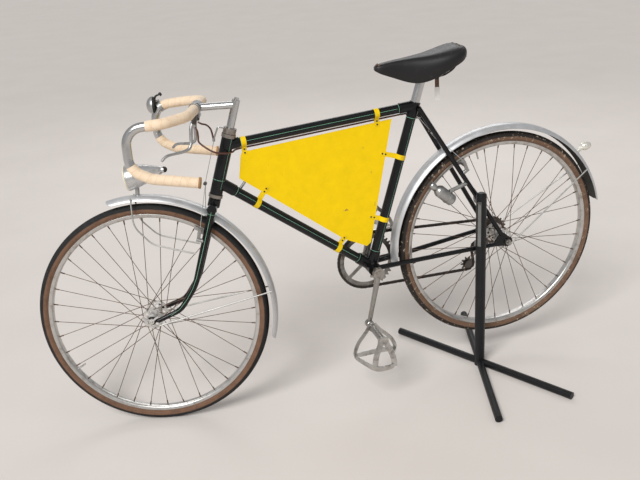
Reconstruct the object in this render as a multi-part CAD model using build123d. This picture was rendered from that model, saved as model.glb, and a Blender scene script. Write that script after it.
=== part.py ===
from build123d import *
import math
import os

os.makedirs("parts", exist_ok=True)

# A drop-bar road bicycle, its rear wheel held off the floor by a display stand.
# X is forward, Y is the bicycle's left and Z is up. All sizes are in mm and degrees.
# The model is worked out with the rear axle above the origin, then moved at the end,
# so that the origin is the centre of the stand's post on the floor.

# Wheels
rim_outer_r = 298.0
tyre_h = 29.0
tyre_r = rim_outer_r + tyre_h
tyre_w = 33.0
rim_inner_r = 288.0
rim_w = 25.0
spoke_count = 36
spoke_w = 1.8
spoke_wrap = 57.0
front_axle_z = 327.0
rear_axle_z = 397.0
hub_barrel_r = 13.0
rear_hub_w = 66.0
flange_hole_r = 4.2
flange_hole_at = 19.5
flange_holes = 9
wheelbase = 1069.6
front_over_locknut = 96.0
rear_over_locknut = 120.0
rear_axle_r = 4.8
front_axle_r = 4.5
axle_nut_out = 13.0
axle_past = 21.0

# Frame geometry
head_angle = 72.06
fork_rake = 97.4
steer_rest = -17.0
bb_x = 416.6
bb_z = 368.0
seat_angle = 72.6
seat_tube_len = 503.0
top_tube_below = 10.48
top_tube_head_z = 799.0
down_tube_head_z = 699.0
top_tube_r = 13.0
down_tube_r = 14.0
seat_tube_r = 14.0
seat_post_r = 13.0
head_tube_r = 17.5
head_bore_r = 13.6
steerer_r = 12.7
locknut_r = 18.0
bb_shell_r = 20.0
bb_shell_w = 68.0
bb_bore_r = 10.0
lug_wall = 2.0
chainstay_r = 7.5
chainstay_end_r = 6.5
seatstay_r = 7.0
dropout_t = 5.0

# Places along the steering axis, measured up from the point level with the front axle
crown_s = 352.0
crown_race_s = 374.0
head_low_s = 388.0
head_top_s = 549.0
locknut_s = 575.0
stem_s = 646.0

# Drive
chain_pitch = 12.7
chain_y = -43.5
ring_teeth = 44
cog_teeth = (22, 20, 18, 16)
cog_step = 4.6
driven_teeth = 18
pulley_teeth = 10
guide_pulley = (46.0, 344.0)
tension_pulley = (79.0, 295.0)
crank_len = 158.0
crank_angle = -76.0
crank_in_y = 56.0
crank_out_y = 68.0
eye_out_y = 76.0
pedal_spindle_len = 112.0
pedal_drop = 86.0

# Bars
bar_r = 12.0
stem_reach = 108.0

# Stand
post_at = (97.0, 82.0)
post_r = 15.5
post_top_z = 574.0
foot_r = 11.0
foot_len = 322.0
foot_azimuths = (-61.0, 73.0, 119.0, 253.0)

# Mudguards
guard_gap = 25.0
guard_depth = 11.0
guard_crown_r = tyre_r + guard_gap
guard_edge_r = guard_crown_r - guard_depth
guard_half_w = 24.0
guard_t = 1.2

MIN = (Align.CENTER, Align.CENTER, Align.MIN)
rear_axle = (0.0, rear_axle_z)
front_axle = (wheelbase, front_axle_z)
floor_z = front_axle_z - tyre_r
driven_cog = cog_teeth.index(driven_teeth)
ax = (-math.cos(math.radians(head_angle)), math.sin(math.radians(head_angle)))
ahead = (ax[1], -ax[0])
axis_foot = (front_axle[0] - fork_rake * ahead[0], front_axle[1] - fork_rake * ahead[1])
seat_dir = (-math.cos(math.radians(seat_angle)), math.sin(math.radians(seat_angle)))
origin_shift = (-post_at[0], -post_at[1], -floor_z)


def on_axis(s, off=0.0, y=0.0):
    """A point s up the steering axis and off ahead of it."""
    return (
        axis_foot[0] + s * ax[0] + off * ahead[0],
        y,
        axis_foot[1] + s * ax[1] + off * ahead[1],
    )


def axis_at_height(z, y=0.0):
    return on_axis((z - axis_foot[1]) / ax[1], 0.0, y)


def on_seat(s, y=0.0):
    return (bb_x + s * seat_dir[0], y, bb_z + s * seat_dir[1])


def rod(p, q, r, r_end=None):
    """A round bar from p to q, tapering to r_end if given."""
    a, b = Vector(*p), Vector(*q)
    plane = Plane(origin=a, z_dir=b - a)
    if r_end is None:
        return plane * Cylinder(r, (b - a).length, align=MIN)
    return plane * Cone(r, r_end, (b - a).length, align=MIN)


def bend(points, radii, r, r_end=None):
    """A round bar along points, with an arc of each radius at each corner."""
    path = FilletPolyline(*points, radius=radii) if len(points) > 2 else Line(*points)
    start = Plane(origin=path @ 0, z_dir=path % 0) * Circle(r)
    if r_end is None:
        return sweep(start, path=path)
    end = Plane(origin=path @ 1, z_dir=path % 1) * Circle(r_end)
    return sweep([start, end], path=path, multisection=True)


def turned(points):
    """A ring about Y from (radius, y) points."""
    face = make_face(Polyline(*points, close=True))
    return revolve(face, Axis.Y)


def disc(x, z, y0, y1, r):
    """A round plate across Y between y0 and y1."""
    return rod((x, y0, z), (x, y1, z), r)


def at(shape, place, y=0.0):
    return Pos(place[0], y, place[1]) * shape


def steered(shape):
    return shape.rotate(Axis(on_axis(0), (ax[0], 0, ax[1])), steer_rest)


def round_axle(axle, angle, r, y=0.0):
    """A point at radius r about an axle, angle degrees up from straight ahead."""
    a = math.radians(angle)
    return (axle[0] + r * math.cos(a), y, axle[1] + r * math.sin(a))


def mirrored(shape):
    return shape.mirror(Plane.XZ)


def cut(shape, *tools):
    for tool in tools:
        shape = shape - tool
    return shape


made = {}


def keep(name, shapes, turn=False):
    """Put one node's solids in the shared frame."""
    shapes = shapes if isinstance(shapes, (list, tuple)) else [shapes]
    solids = []
    for shape in shapes:
        shape = steered(shape) if turn else shape
        solids += list(shape.solids())
    made[name] = solids


# Wheels

def tyre():
    half = tyre_w / 2
    return turned([
        (rim_outer_r, -half * 0.66), (rim_outer_r + 14.0, -half), (tyre_r, -half * 0.36),
        (tyre_r, half * 0.36), (rim_outer_r + 14.0, half), (rim_outer_r, half * 0.66),
    ])


def rim():
    half = rim_w / 2
    return turned([
        (rim_inner_r, -half * 0.55), (rim_outer_r, -half), (rim_outer_r, half), (rim_inner_r, half * 0.55),
    ])


def spokes(flange_y, flange_r):
    """Crossed spokes from both flanges to the rim's inner face."""
    bars = []
    for side, y0 in ((1, flange_y[0]), (-1, flange_y[1])):
        per_side = spoke_count // 2
        for i in range(per_side):
            lean = 1 if i % 2 else -1
            a_hub = 360.0 / per_side * i + (0 if side > 0 else 180.0 / per_side)
            a_rim = a_hub + lean * spoke_wrap
            y_hub = y0 + side * lean * 3.5
            p = round_axle((0, 0), a_hub, flange_r, y_hub)
            q = round_axle((0, 0), a_rim, rim_inner_r, side * 3.0)
            a, b = Vector(*p), Vector(*q)
            bars.append(Plane(origin=a, z_dir=b - a) * Box(spoke_w, spoke_w, (b - a).length - 0.4, align=MIN))
    return bars


def hub(flange_y, flange_r, barrel_r, over):
    left, right = flange_y
    t = 1.6
    half = over / 2
    body = turned([
        (0.0, -half), (8.0, -half), (8.0, right - 8), (barrel_r, right - t), (flange_r, right - t),
        (flange_r, right + t), (barrel_r, right + t), (barrel_r, left - t), (flange_r, left - t),
        (flange_r, left + t), (barrel_r, left + t), (8.0, left + 8), (8.0, half), (0.0, half),
    ])
    for i in range(flange_holes):
        x, _, z = round_axle((0, 0), 360.0 / flange_holes * i, flange_hole_at)
        body = body - disc(x, z, right - 3, right + 3, flange_hole_r) - disc(x, z, left - 3, left + 3,
                flange_hole_r)
    return body


def valve(axle, angle):
    """The valve's stem, from inside the rim towards the hub."""
    low, high = round_axle(axle, angle, rim_inner_r - 26), round_axle(axle, angle, rim_inner_r + 3)
    return rod(low, high, 2.2, 3.0)


front_flanges = (33.0, -33.0)
rear_flanges = (34.0, -22.0)
flange_r = 30.0

keep("tyre_front", at(tyre(), front_axle), True)
keep("rim_front", at(rim(), front_axle) + valve(front_axle, -32.0), True)
keep("spokes_front", [at(s, front_axle) for s in spokes(front_flanges, flange_r - 2.5)], True)
keep("hub_front", at(hub(front_flanges, flange_r, hub_barrel_r, front_over_locknut), front_axle), True)
keep("tyre_rear", at(tyre(), rear_axle))
keep("rim_rear", at(rim(), rear_axle) + valve(rear_axle, 75.0))
keep("spokes_rear", [at(s, rear_axle) for s in spokes(rear_flanges, flange_r - 2.5)])
keep("hub_rear", at(hub(rear_flanges, flange_r, hub_barrel_r, rear_hub_w), rear_axle))

# Frame

tt_head = axis_at_height(top_tube_head_z)
dt_head = axis_at_height(down_tube_head_z)
tt_seat = on_seat(seat_tube_len - top_tube_below)
bb = (bb_x, 0.0, bb_z)


def toward(p, q, d):
    a, b = Vector(*p), Vector(*q)
    c = a + (b - a).normalized() * d
    return (c.X, c.Y, c.Z)


head_outer = rod(on_axis(head_low_s), on_axis(head_top_s), head_tube_r)
head_lugs = (
    rod(tt_head, toward(tt_head, tt_seat, 34), top_tube_r + lug_wall)
    + rod(dt_head, toward(dt_head, bb, 52), down_tube_r + lug_wall)
)
steer_bore = rod(on_axis(head_low_s - 60), on_axis(head_top_s + 60), head_bore_r)
head_tube = cut(
    head_outer + head_lugs, steer_bore,
    rod(toward(tt_head, tt_seat, 18), tt_seat, top_tube_r),
    rod(toward(dt_head, bb, 18), bb, down_tube_r),
)
cups = cut(
    rod(on_axis(head_low_s - 9), on_axis(head_low_s), 19.5)
    + rod(on_axis(head_top_s), on_axis(head_top_s + 10), 19.5),
    steer_bore)
keep("head_tube", cut(head_tube, cups))

bb_shell = rod((bb_x, -bb_shell_w / 2, bb_z), (bb_x, bb_shell_w / 2, bb_z), bb_shell_r)
bb_bore = rod((bb_x, -90, bb_z), (bb_x, 90, bb_z), bb_bore_r)
shell = cut(
    bb_shell + rod(bb, on_seat(46), seat_tube_r + lug_wall)
    + rod(bb, toward(bb, dt_head, 50), down_tube_r + lug_wall),
    bb_bore, rod(on_seat(20), on_seat(90), seat_tube_r), rod(toward(bb, dt_head, 20), dt_head, down_tube_r),
)
keep("bottom_bracket", shell)

seat_lug = cut(
    rod(on_seat(seat_tube_len - 42), on_seat(seat_tube_len), seat_tube_r + lug_wall)
    + rod(tt_seat, toward(tt_seat, tt_head, 46), top_tube_r + lug_wall),
    rod(on_seat(seat_tube_len - 60), on_seat(seat_tube_len + 20), seat_tube_r),
    rod(toward(tt_seat, tt_head, 12), tt_head, top_tube_r),
)
keep("seat_lug", seat_lug)
seat_tube = cut(rod(on_seat(20), on_seat(seat_tube_len), seat_tube_r),
                rod(on_seat(seat_tube_len - 90), on_seat(seat_tube_len + 20), seat_post_r))
keep("seat_tube", seat_tube)
top_tube = cut(rod(toward(tt_head, tt_seat, 18), toward(tt_seat, tt_head, 12), top_tube_r),
               rod(on_seat(seat_tube_len - 100), on_seat(seat_tube_len + 20), seat_tube_r), steer_bore, cups)
down_tube = cut(rod(toward(dt_head, bb, 18), toward(bb, dt_head, 20), down_tube_r), steer_bore)
keep("top_tube", top_tube)
keep("down_tube", down_tube)

drop_y = rear_over_locknut / 2 + dropout_t / 2
stays = []
guard_room = []
for side in (1, -1):
    inner = (bb_x - 12, side * 24, bb_z)
    mid = (318, side * 29.5, 373)
    outer = (40, side * drop_y, rear_axle[1] - 4)
    stays.append(cut(bend([inner, mid, outer], [150], chainstay_r, chainstay_end_r), shell, bb_bore))
    guard_room.append(bend([inner, mid, outer], [150], chainstay_r + 1.0))
keep("chainstays", stays)

ss_top = on_seat(seat_tube_len - 14)
seat_stays = []
for side in (1, -1):
    top = (ss_top[0] - 6, side * 20, ss_top[2])
    low = (18, side * drop_y, rear_axle[1] + 24)
    seat_stays.append(cut(rod(top, low, seatstay_r), seat_lug, seat_tube))
keep("seatstays", seat_stays)

drops = []
for side in (1, -1):
    y0 = side * rear_over_locknut / 2
    y1 = y0 + side * dropout_t
    plate = disc(*rear_axle, y0, y1, 16) + extrude(
        Plane(origin=(0, min(y0, y1) + dropout_t, 0), x_dir=(1, 0, 0), z_dir=(0, -1, 0))
        * make_face(Polyline((0, rear_axle[1] - 13), (42, rear_axle[1] - 10), (42, rear_axle[1] + 4),
                             (22, rear_axle[1] + 32), (8, rear_axle[1] + 28), (-8, rear_axle[1] + 12),
                             close=True)),
        dropout_t)
    drops.append(cut(plate, disc(*rear_axle, y0 - side, y1 + side, 5.2), *stays, *seat_stays))
keep("rear_dropouts", drops)

rear_shaft = disc(*rear_axle, -rear_over_locknut / 2 - axle_past, rear_over_locknut / 2 + axle_past,
                  rear_axle_r)
made["hub_rear"] = list(cut(at(hub(rear_flanges, flange_r, hub_barrel_r, rear_hub_w), rear_axle),
                            disc(*rear_axle, -40, 40, 5.0)).solids())
nuts = [disc(*rear_axle, s * (rear_over_locknut / 2 + dropout_t),
             s * (rear_over_locknut / 2 + axle_nut_out), 8.5)
        for s in (1, -1)]
spacers = [disc(*rear_axle, s * (rear_hub_w / 2 + 1.5), s * rear_over_locknut / 2, 7.5) for s in (1, -1)]
keep("rear_axle", rear_shaft + nuts[0] + nuts[1] + spacers[0] + spacers[1])

keep("headset_cups", cups)

# Saddle

post_top_s = seat_tube_len + 62.0
saddle_clamp = on_seat(post_top_s)
keep("seat_post", rod(on_seat(seat_tube_len - 90), on_seat(post_top_s), seat_post_r))
clamp_y = 18.0
keep("saddle_clamp", rod((saddle_clamp[0], -clamp_y, saddle_clamp[2] + 8),
                         (saddle_clamp[0], clamp_y, saddle_clamp[2] + 8), 9)
     - rod(on_seat(seat_tube_len), on_seat(post_top_s), seat_post_r))
# columns: ahead of the clamp, bottom and top above it, half width
saddle_sections = (
    (144, 41, 54, 15), (128, 34, 61, 19), (82, 27, 67, 24), (40, 18.5, 71, 34), (0, 18.5, 78, 48),
    (-57, 28, 87, 66),
    (-105, 40, 93, 72), (-134, 55, 91, 62),
)
faces = []
for dx, dz0, dz1, half in saddle_sections:
    x, z0, z1 = saddle_clamp[0] + dx, saddle_clamp[2] + dz0, saddle_clamp[2] + dz1
    faces.append(Plane(origin=(x, 0, 0), x_dir=(0, 1, 0), z_dir=(1, 0, 0))
                 * make_face(Polyline((-half, z0), (half, z0), (half * 0.86, z1 - 8), (half * 0.4, z1),
                                      (-half * 0.4, z1), (-half * 0.86, z1 - 8), close=True)))
keep("saddle_top", loft(faces, ruled=True))

# Drive

def tangent(a, b):
    """Leaving and arriving points of a belt that runs from wheel a to wheel b."""
    dx, dz = b[0] - a[0], b[1] - a[1]
    ratio = (a[3] * a[2] - b[3] * b[2]) / math.hypot(dx, dz)
    n = math.atan2(dz, dx) - math.acos(ratio)
    return (
        (a[0] + a[3] * a[2] * math.cos(n), a[1] + a[3] * a[2] * math.sin(n)),
        (b[0] + b[3] * b[2] * math.cos(n), b[1] + b[3] * b[2] * math.sin(n)),
    )


def pitch_r(teeth):
    return chain_pitch / 2 / math.sin(math.pi / teeth)


# columns: x, z, pitch radius, 1 where the chain turns one way and -1 the other
wraps = (
    (bb_x, bb_z, pitch_r(ring_teeth), 1),
    (*rear_axle, pitch_r(cog_teeth[driven_cog]), 1),
    (*guide_pulley, pitch_r(pulley_teeth), -1),
    (*tension_pulley, pitch_r(pulley_teeth), 1),
)


def chain_route():
    """Straight and round stretches as (kind, length, data), once round the loop."""
    runs = [tangent(wraps[i], wraps[(i + 1) % len(wraps)]) for i in range(len(wraps))]
    route = []
    for i, (p, q) in enumerate(runs):
        route.append(("run", math.dist(p, q), (p, q)))
        x, z, r, sense = wraps[(i + 1) % len(wraps)]
        out = runs[(i + 1) % len(runs)][0]
        a0 = math.atan2(q[1] - z, q[0] - x)
        a1 = math.atan2(out[1] - z, out[0] - x)
        sweep_angle = (sense * (a1 - a0)) % (2 * math.pi)
        route.append(("arc", sweep_angle * r, (x, z, r, a0, sense)))
    return route


def chain_pins():
    route = chain_route()
    total = sum(part[1] for part in route)
    count = 2 * round(total / chain_pitch / 2)
    pins = []
    for i in range(count):
        s = total * i / count
        for kind, length, data in route:
            if s < length:
                break
            s -= length
        if kind == "run":
            p, q = data
            t = s / length
            pins.append((p[0] + t * (q[0] - p[0]), p[1] + t * (q[1] - p[1]), True))
        else:
            x, z, r, a0, sense = data
            a = a0 + sense * s / r
            pins.append((x + r * math.cos(a), z + r * math.sin(a), False))
    return pins


tooth_tip = 3.4
plate_h = 7.6
plate_t = 0.8
plate_past = 3.0
inner_plate_y = 1.3
outer_plate_y = 2.2
roller_r = 3.9
block_past = 12.0


def chain():
    pins = chain_pins()
    pieces = []
    for i, (x0, z0, straight) in enumerate(pins):
        x1, z1, _ = pins[(i + 1) % len(pins)]
        turn = math.degrees(math.atan2(z1 - z0, x1 - x0))
        length = math.hypot(x1 - x0, z1 - z0) + 2 * plate_past
        y_in = inner_plate_y if i % 2 else outer_plate_y
        for side in (1, -1):
            place = Pos((x0 + x1) / 2, chain_y + side * (y_in + plate_t / 2), (z0 + z1) / 2) * Rot(0,
                    -turn, 0)
            pieces.append(place * Box(length, plate_t, plate_h))
        if i % 2 and all(math.dist((x0, z0), (x, z)) > r + tooth_tip + block_past for x, z, r, _ in wraps):
            middle = Pos((x0 + x1) / 2, chain_y, (z0 + z1) / 2) * Rot(0, -turn, 0)
            pieces.append(middle * Box(length - 2 * plate_past, 2 * inner_plate_y - 0.2, 5.0))
    return pieces


keep("chain", chain())

sprocket_t = 1.8


def sprocket(teeth, y, bore):
    """A toothed wheel with one short flat tooth per link."""
    root = pitch_r(teeth) - roller_r - 0.3
    tip = pitch_r(teeth) + tooth_tip
    points = []
    for i in range(teeth):
        for part, r in ((-0.36, root), (-0.12, tip), (0.12, tip), (0.36, root)):
            a = 2 * math.pi * (i + part) / teeth
            points.append((r * math.cos(a), r * math.sin(a)))
    face = make_face(Polyline(*points, close=True)) - Circle(bore)
    return extrude(Plane(origin=(0, y + sprocket_t / 2, 0), x_dir=(1, 0, 0), z_dir=(0, -1, 0)) * face,
                   sprocket_t)


cogs = []
for i, teeth in enumerate(cog_teeth):
    y = chain_y + cog_step * (driven_cog - i)
    cogs.append(at(sprocket(teeth, y, 20.0), rear_axle))
freewheel = disc(*rear_axle, chain_y - cog_step * 1 - 2, chain_y + cog_step * 2 + 2,
                 20.0) - disc(*rear_axle, -80, 0, 9.0)
keep("freewheel", [freewheel + cogs[0] + cogs[1] + cogs[2] + cogs[3]])

ring = at(sprocket(ring_teeth, chain_y, 72.0), (bb_x, bb_z))
spider = []
for i in range(5):
    a = math.radians(crank_angle + 180 + 72 * i)
    spider.append(rod((bb_x, chain_y, bb_z), (bb_x + 76 * math.cos(a), chain_y, bb_z + 76 * math.sin(a)),
                      5.0))
spider_plate = disc(bb_x, bb_z, chain_y - 2.5, chain_y + 2.5, 22.0)
spokes_of_ring = spider_plate
for arm in spider:
    spokes_of_ring = spokes_of_ring + (arm & disc(bb_x, bb_z, chain_y - 2.5, chain_y + 2.5, 100))
keep("chainring", cut(ring + spokes_of_ring, disc(bb_x, bb_z, -80, 0, 8.0)))

spindle_r = 7.9
pedal_bore_r = 6.6
pedal_pin_r = 6.5
cotter_at = 10.5
keep("crank_axle", disc(bb_x, bb_z, -crank_out_y - 2, crank_out_y + 2, spindle_r))


def crank_arm(side, angle):
    a = math.radians(angle)
    ex, ez = bb_x + crank_len * math.cos(a), bb_z + crank_len * math.sin(a)
    y0, y1 = side * crank_in_y, side * crank_out_y
    e0, e1 = side * (eye_out_y - 13), side * eye_out_y
    arm = rod((bb_x + 12 * math.cos(a), (y0 + y1) / 2, bb_z + 12 * math.sin(a)), (ex, (e0 + e1) / 2, ez),
              8.5, 6.5)
    arm = disc(bb_x, bb_z, y0, y1, 17.0) + arm + disc(ex, ez, e0, e1, 12.0)
    across = Vector(-math.sin(a), 0, math.cos(a))
    pin_at = Vector(bb_x + cotter_at * math.cos(a), (y0 + y1) / 2, bb_z + cotter_at * math.sin(a))
    arm = arm + rod(pin_at - across * 22, pin_at + across * 23, 3.6) + rod(pin_at - across * 21,
            pin_at - across * 15, 5.6)
    return cut(arm, disc(bb_x, bb_z, -90, 90, spindle_r),
               disc(ex, ez, e0 - side * 3, e1 + side * 3, pedal_bore_r))


keep("crank_left", crank_arm(1, crank_angle))
keep("crank_right", crank_arm(-1, crank_angle + 180))


# columns: x from the spindle, distance out from the crank's eye, at the foot plate's four corners
pedal_corners = ((57.0, 20.0), (26.0, 114.0), (-28.0, 114.0), (-68.0, 20.0))
tread_t = 2.5
tread_h = 12.0


def pedal(side, angle):
    a = math.radians(angle)
    ex, ez = bb_x + crank_len * math.cos(a), bb_z + crank_len * math.sin(a)
    y0, y1, y2 = (side * (eye_out_y + d) for d in (-12, 2, pedal_spindle_len))
    shape = disc(ex, ez, y0, y1, pedal_pin_r) + disc(ex, ez, y1, y2, 11.0)
    corners = [(ex + dx, side * (eye_out_y + dy)) for dx, dy in pedal_corners]
    low = ez - pedal_drop
    for i, (x, y) in enumerate(corners):
        x2, y2 = corners[(i + 1) % 4]
        turn = math.degrees(math.atan2(y2 - y, x2 - x))
        length = math.hypot(x2 - x, y2 - y) + tread_t
        shape = shape + Pos((x + x2) / 2, (y + y2) / 2, low) * Rot(0, 0, turn) * Box(length, tread_t, tread_h)
    for i, j in ((0, 3), (1, 2)):
        (xa, y), (xb, _) = corners[i], corners[j]
        web = make_face(Polyline((xa, low + 5), (ex + 9, ez), (ex - 9, ez), (xb, low + 5),
                                 (xb + 9, low + 5), (ex, ez - 22),
                                 (xa - 9, low + 5), close=True))
        shape = shape + extrude(Plane(origin=(0, y + tread_t / 2, 0), x_dir=(1, 0, 0), z_dir=(0, -1, 0))
                                * web, tread_t)
    return shape - disc(ex, ez, y0, y1 - side * 0.5, 20) + disc(ex, ez, y0, y1, pedal_pin_r)


keep("pedal_left", pedal(1, crank_angle))
keep("pedal_right", pedal(-1, crank_angle + 180))

pulleys = [at(sprocket(pulley_teeth, chain_y, 4.0), p) for p in (guide_pulley, tension_pulley)]
cage_y = chain_y + 7.5
cage = disc(*guide_pulley, cage_y, cage_y + 2, 12) + disc(*tension_pulley, cage_y, cage_y + 2, 12) + rod(
    (guide_pulley[0], cage_y + 1, guide_pulley[1]), (tension_pulley[0], cage_y + 1, tension_pulley[1]), 1.0)
pins2 = [disc(*p, chain_y - 5, cage_y, 3.9) for p in (guide_pulley, tension_pulley)]
arm_y = chain_y - 8.0
swing = rod((guide_pulley[0], arm_y, guide_pulley[1]),
            (10, -(rear_over_locknut + dropout_t) / 2, rear_axle_z - 12), 5.5, 5.0)
cage = cage + cut(swing, *drops) + disc(*guide_pulley, arm_y - 3, chain_y - 4, 7.5)
keep("derailleur", [pulleys[0] + pulleys[1] + cage + pins2[0] + pins2[1]])

# Fork, stem and bars

# columns: up the steering axis, ahead of it, out from the middle
blade_points = ((crown_s, 0.0, 31.0), (126.2, 0.0, 38.0), (49.9, 24.6, 46.0), (4.5, 80.3, 52.0))
blades = []
for side in (1, -1):
    points = [on_axis(s, off, side * y) for s, off, y in blade_points]
    blades.append(bend(points, [150, 60], 11.0, 6.5))
crown = rod(on_axis(crown_s, 0, -42), on_axis(crown_s, 0, 42), 13)
tips = []
for side in (1, -1):
    y0 = side * front_over_locknut / 2
    tip = disc(*front_axle, y0, y0 + side * dropout_t,
               12) + rod((wheelbase - 24.6, side * 51, front_axle_z),
                         (wheelbase - 5.6, side * 50.5, front_axle_z), 5)
    tips.append(cut(tip, disc(*front_axle, y0 - side, y0 + 8 * side, 4.6),
                    disc(*front_axle, y0 - side * 12, y0, 20),
                    disc(*front_axle, y0 + side * dropout_t, y0 + side * 14, 9)))
fork = crown + blades[0] + blades[1] + rod(on_axis(crown_s), on_axis(crown_race_s), 17) + rod(
    on_axis(crown_race_s), on_axis(locknut_s - 8), steerer_r)
fork = fork + tips[0] + tips[1]
keep("fork", fork, True)
front_shaft = disc(*front_axle, -front_over_locknut / 2 - axle_past, front_over_locknut / 2 + axle_past,
                   front_axle_r)
front_nuts = [disc(*front_axle, s * (front_over_locknut / 2 + dropout_t),
                   s * (front_over_locknut / 2 + axle_nut_out), 8)
              for s in (1, -1)]
wing_y = front_over_locknut / 2 + axle_nut_out - 4
wings = rod((wheelbase, wing_y, front_axle_z), (wheelbase + 22, wing_y + 6, front_axle_z + 16), 3.4,
            2.4) + rod(
    (wheelbase, wing_y, front_axle_z), (wheelbase - 22, wing_y + 6, front_axle_z + 16), 3.4, 2.4)
keep("front_axle", front_shaft + front_nuts[0] + front_nuts[1] + cut(wings, front_shaft), True)
made["hub_front"] = [s for s in steered(at(hub(front_flanges, flange_r, hub_barrel_r,
                                               front_over_locknut - 1), front_axle)
                                        - disc(*front_axle, -80, 80, 4.8)).solids()]
stem_top = on_axis(stem_s)
clamp_at = (stem_top[0] + stem_reach, 0.0, stem_top[2] - 7)


def from_clamp(dx, y, dz):
    """A place ahead of and above the bar's clamp."""
    return (clamp_at[0] + dx, y, clamp_at[2] + dz)


stem = (
    rod(on_axis(locknut_s + 0.5), on_axis(stem_s + 6), 11)
    + rod((stem_top[0], 0, stem_top[2] - 7), clamp_at, 10)
    + rod((clamp_at[0], -20, clamp_at[2]), (clamp_at[0], 20, clamp_at[2]), 17)
    + rod(on_axis(stem_s + 5), on_axis(stem_s + 12), 6.5)
    + rod((clamp_at[0] - 6, -9, clamp_at[2] - 20), (clamp_at[0] - 6, 9, clamp_at[2] - 20), 6)
)
stem = stem - rod((clamp_at[0], -60, clamp_at[2]), (clamp_at[0], 60, clamp_at[2]), bar_r)
keep("stem", stem, True)
keep("headset_locknut", rod(on_axis(head_top_s + 11), on_axis(locknut_s), locknut_r)
     - rod(on_axis(head_top_s), on_axis(locknut_s - 8), steerer_r), True)
bar_half_w = 203.0
# columns: ahead of the clamp, out from the middle and above the clamp, for the left half's corners
bar_points = (
    (0.0, 0.0, 0.0), (0.0, 150.0, 0.0), (54.1, bar_half_w, -5.6), (150.1, bar_half_w, -12.6),
    (150.1, bar_half_w, -114.6), (99.1, bar_half_w, -140.6), (-16.9, bar_half_w, -158.6),
)
left_bar = bend([from_clamp(*p) for p in bar_points], [60, 40, 46, 50, 60], bar_r)
bar = left_bar + mirrored(left_bar)
keep("handlebar", bar, True)

# Mudguards

def guard(start, end):
    """A channel round the wheel between two angles, measured up from straight ahead."""
    half = guard_half_w
    mid = guard_edge_r + 0.78 * (guard_crown_r - guard_edge_r)
    outer = [(guard_edge_r, -half), (mid, -half * 0.62), (guard_crown_r, 0), (mid, half * 0.62),
             (guard_edge_r, half)]
    inner = [(guard_edge_r, half - guard_t), (mid - guard_t, half * 0.6), (guard_crown_r - guard_t, 0),
             (mid - guard_t, -half * 0.6), (guard_edge_r, guard_t - half)]
    face = make_face(Polyline(*outer, *inner, close=True))
    return Rot(0, -end, 0) * revolve(face, Axis.Y, revolution_arc=end - start)


front_guard = at(guard(75, 196), front_axle) - rod(on_axis(crown_s - 30), on_axis(crown_s + 20), 16)
keep("mudguard_front", cut(front_guard, fork), True)
rear_guard = at(guard(-5, 170), rear_axle)
rear_guard = cut(rear_guard, *guard_room)
keep("mudguard_rear", rear_guard)

def stay_rod(points, radii, r, name, turn=False, around=()):
    pair = [bend([(x, side * y, z) for x, y, z in points], radii, r) for side in (1, -1)]
    keep(name, [cut(stay, *around) for stay in pair], turn)


stay_r = 2.2
# columns: ahead of the front axle, out from the middle, above the axle
lamp_stay_points = ((16.4, 40.0, 273.0), (-29.6, 46.0, 221.0), (-144.6, 47.0, 186.0))
stay_rod([(-6, 68, rear_axle_z - 13), round_axle(rear_axle, 149.0, guard_edge_r + 0.8, 25.5)], [], stay_r,
         "guard_stays_rear", False, [rear_guard, *drops])
stay_rod([(wheelbase - 20.6, 56, front_axle_z - 14),
          round_axle(front_axle, 171.2, guard_edge_r + 3.7, 25.5)], [], stay_r, "guard_stays_front", True,
          [front_guard])
stay_rod([round_axle(front_axle, 87.0, guard_crown_r - 2.5, 25.5),
          *[(wheelbase + dx, y, front_axle_z + dz) for dx, y, dz in lamp_stay_points]], [60, 60], stay_r,
          "lamp_stay", True)

# Lamps, bell, dynamo and brakes

lamp_rise = 49.0
lamp_z = front_axle_z + guard_crown_r + lamp_rise
lamp_axis = Plane(origin=(wheelbase + 24.4, 0, lamp_z), x_dir=(0, 1, 0), z_dir=(-0.988, 0, 0.155))
lamp_profile = ((0.0, 0.0), (35.0, 0.0), (36.0, 3.0), (35.0, 8.0), (33.0, 22.0), (25.0, 55.0),
                (12.0, 92.0), (8.0, 98.0),
                (8.0, 106.0), (0.0, 106.0))
lamp_body = lamp_axis * revolve(make_face(Plane.XZ * Polyline(*lamp_profile, close=True)), Axis.Z)
keep("headlamp", lamp_body, True)
keep("lamp_bracket", rod(round_axle(front_axle, 89.6, guard_crown_r - 3),
                         (wheelbase + 0.4, 0, lamp_z - 22), 6) - lamp_body
                         - at(guard(60, 120), front_axle), True)

bell_at = from_clamp(150.1, -bar_half_w, -11.6)
bell_r = 26.0
bell_t = 1.5
dome_arcs = [(r, 15.0 * i) for r,
             order in ((bell_r, range(7)), (bell_r - bell_t, range(6, -1, -1))) for i in order]
dome_face = make_face(Plane.XZ * Polyline(
    *[(r * math.cos(math.radians(a)), r * math.sin(math.radians(a)) * 0.8) for r, a in dome_arcs],
    close=True))
dome = Pos(*bell_at) * Rot(0, 90, 0) * revolve(dome_face, Axis.Z)
bell_lever = rod(from_clamp(148, -203, 10), from_clamp(127, -203, 16.5), 2.6) + rod(
    from_clamp(130, -206, 15.5), from_clamp(124, -206, 18.5), 5.0)
bell_base = rod((bell_at[0] - 4, bell_at[1], bell_at[2]), bell_at, bell_r - 2)
bell_clamp = rod(from_clamp(90.1, -bar_half_w, -8.2), from_clamp(104.1, -bar_half_w, -9.3), bar_r + 3) - bar
keep("bell", [dome + bell_base + bell_lever
              + rod(from_clamp(104.1, -bar_half_w, -2.6), from_clamp(148.1, -bar_half_w, -2.6), 4)
              + bell_clamp - bar], True)

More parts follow.
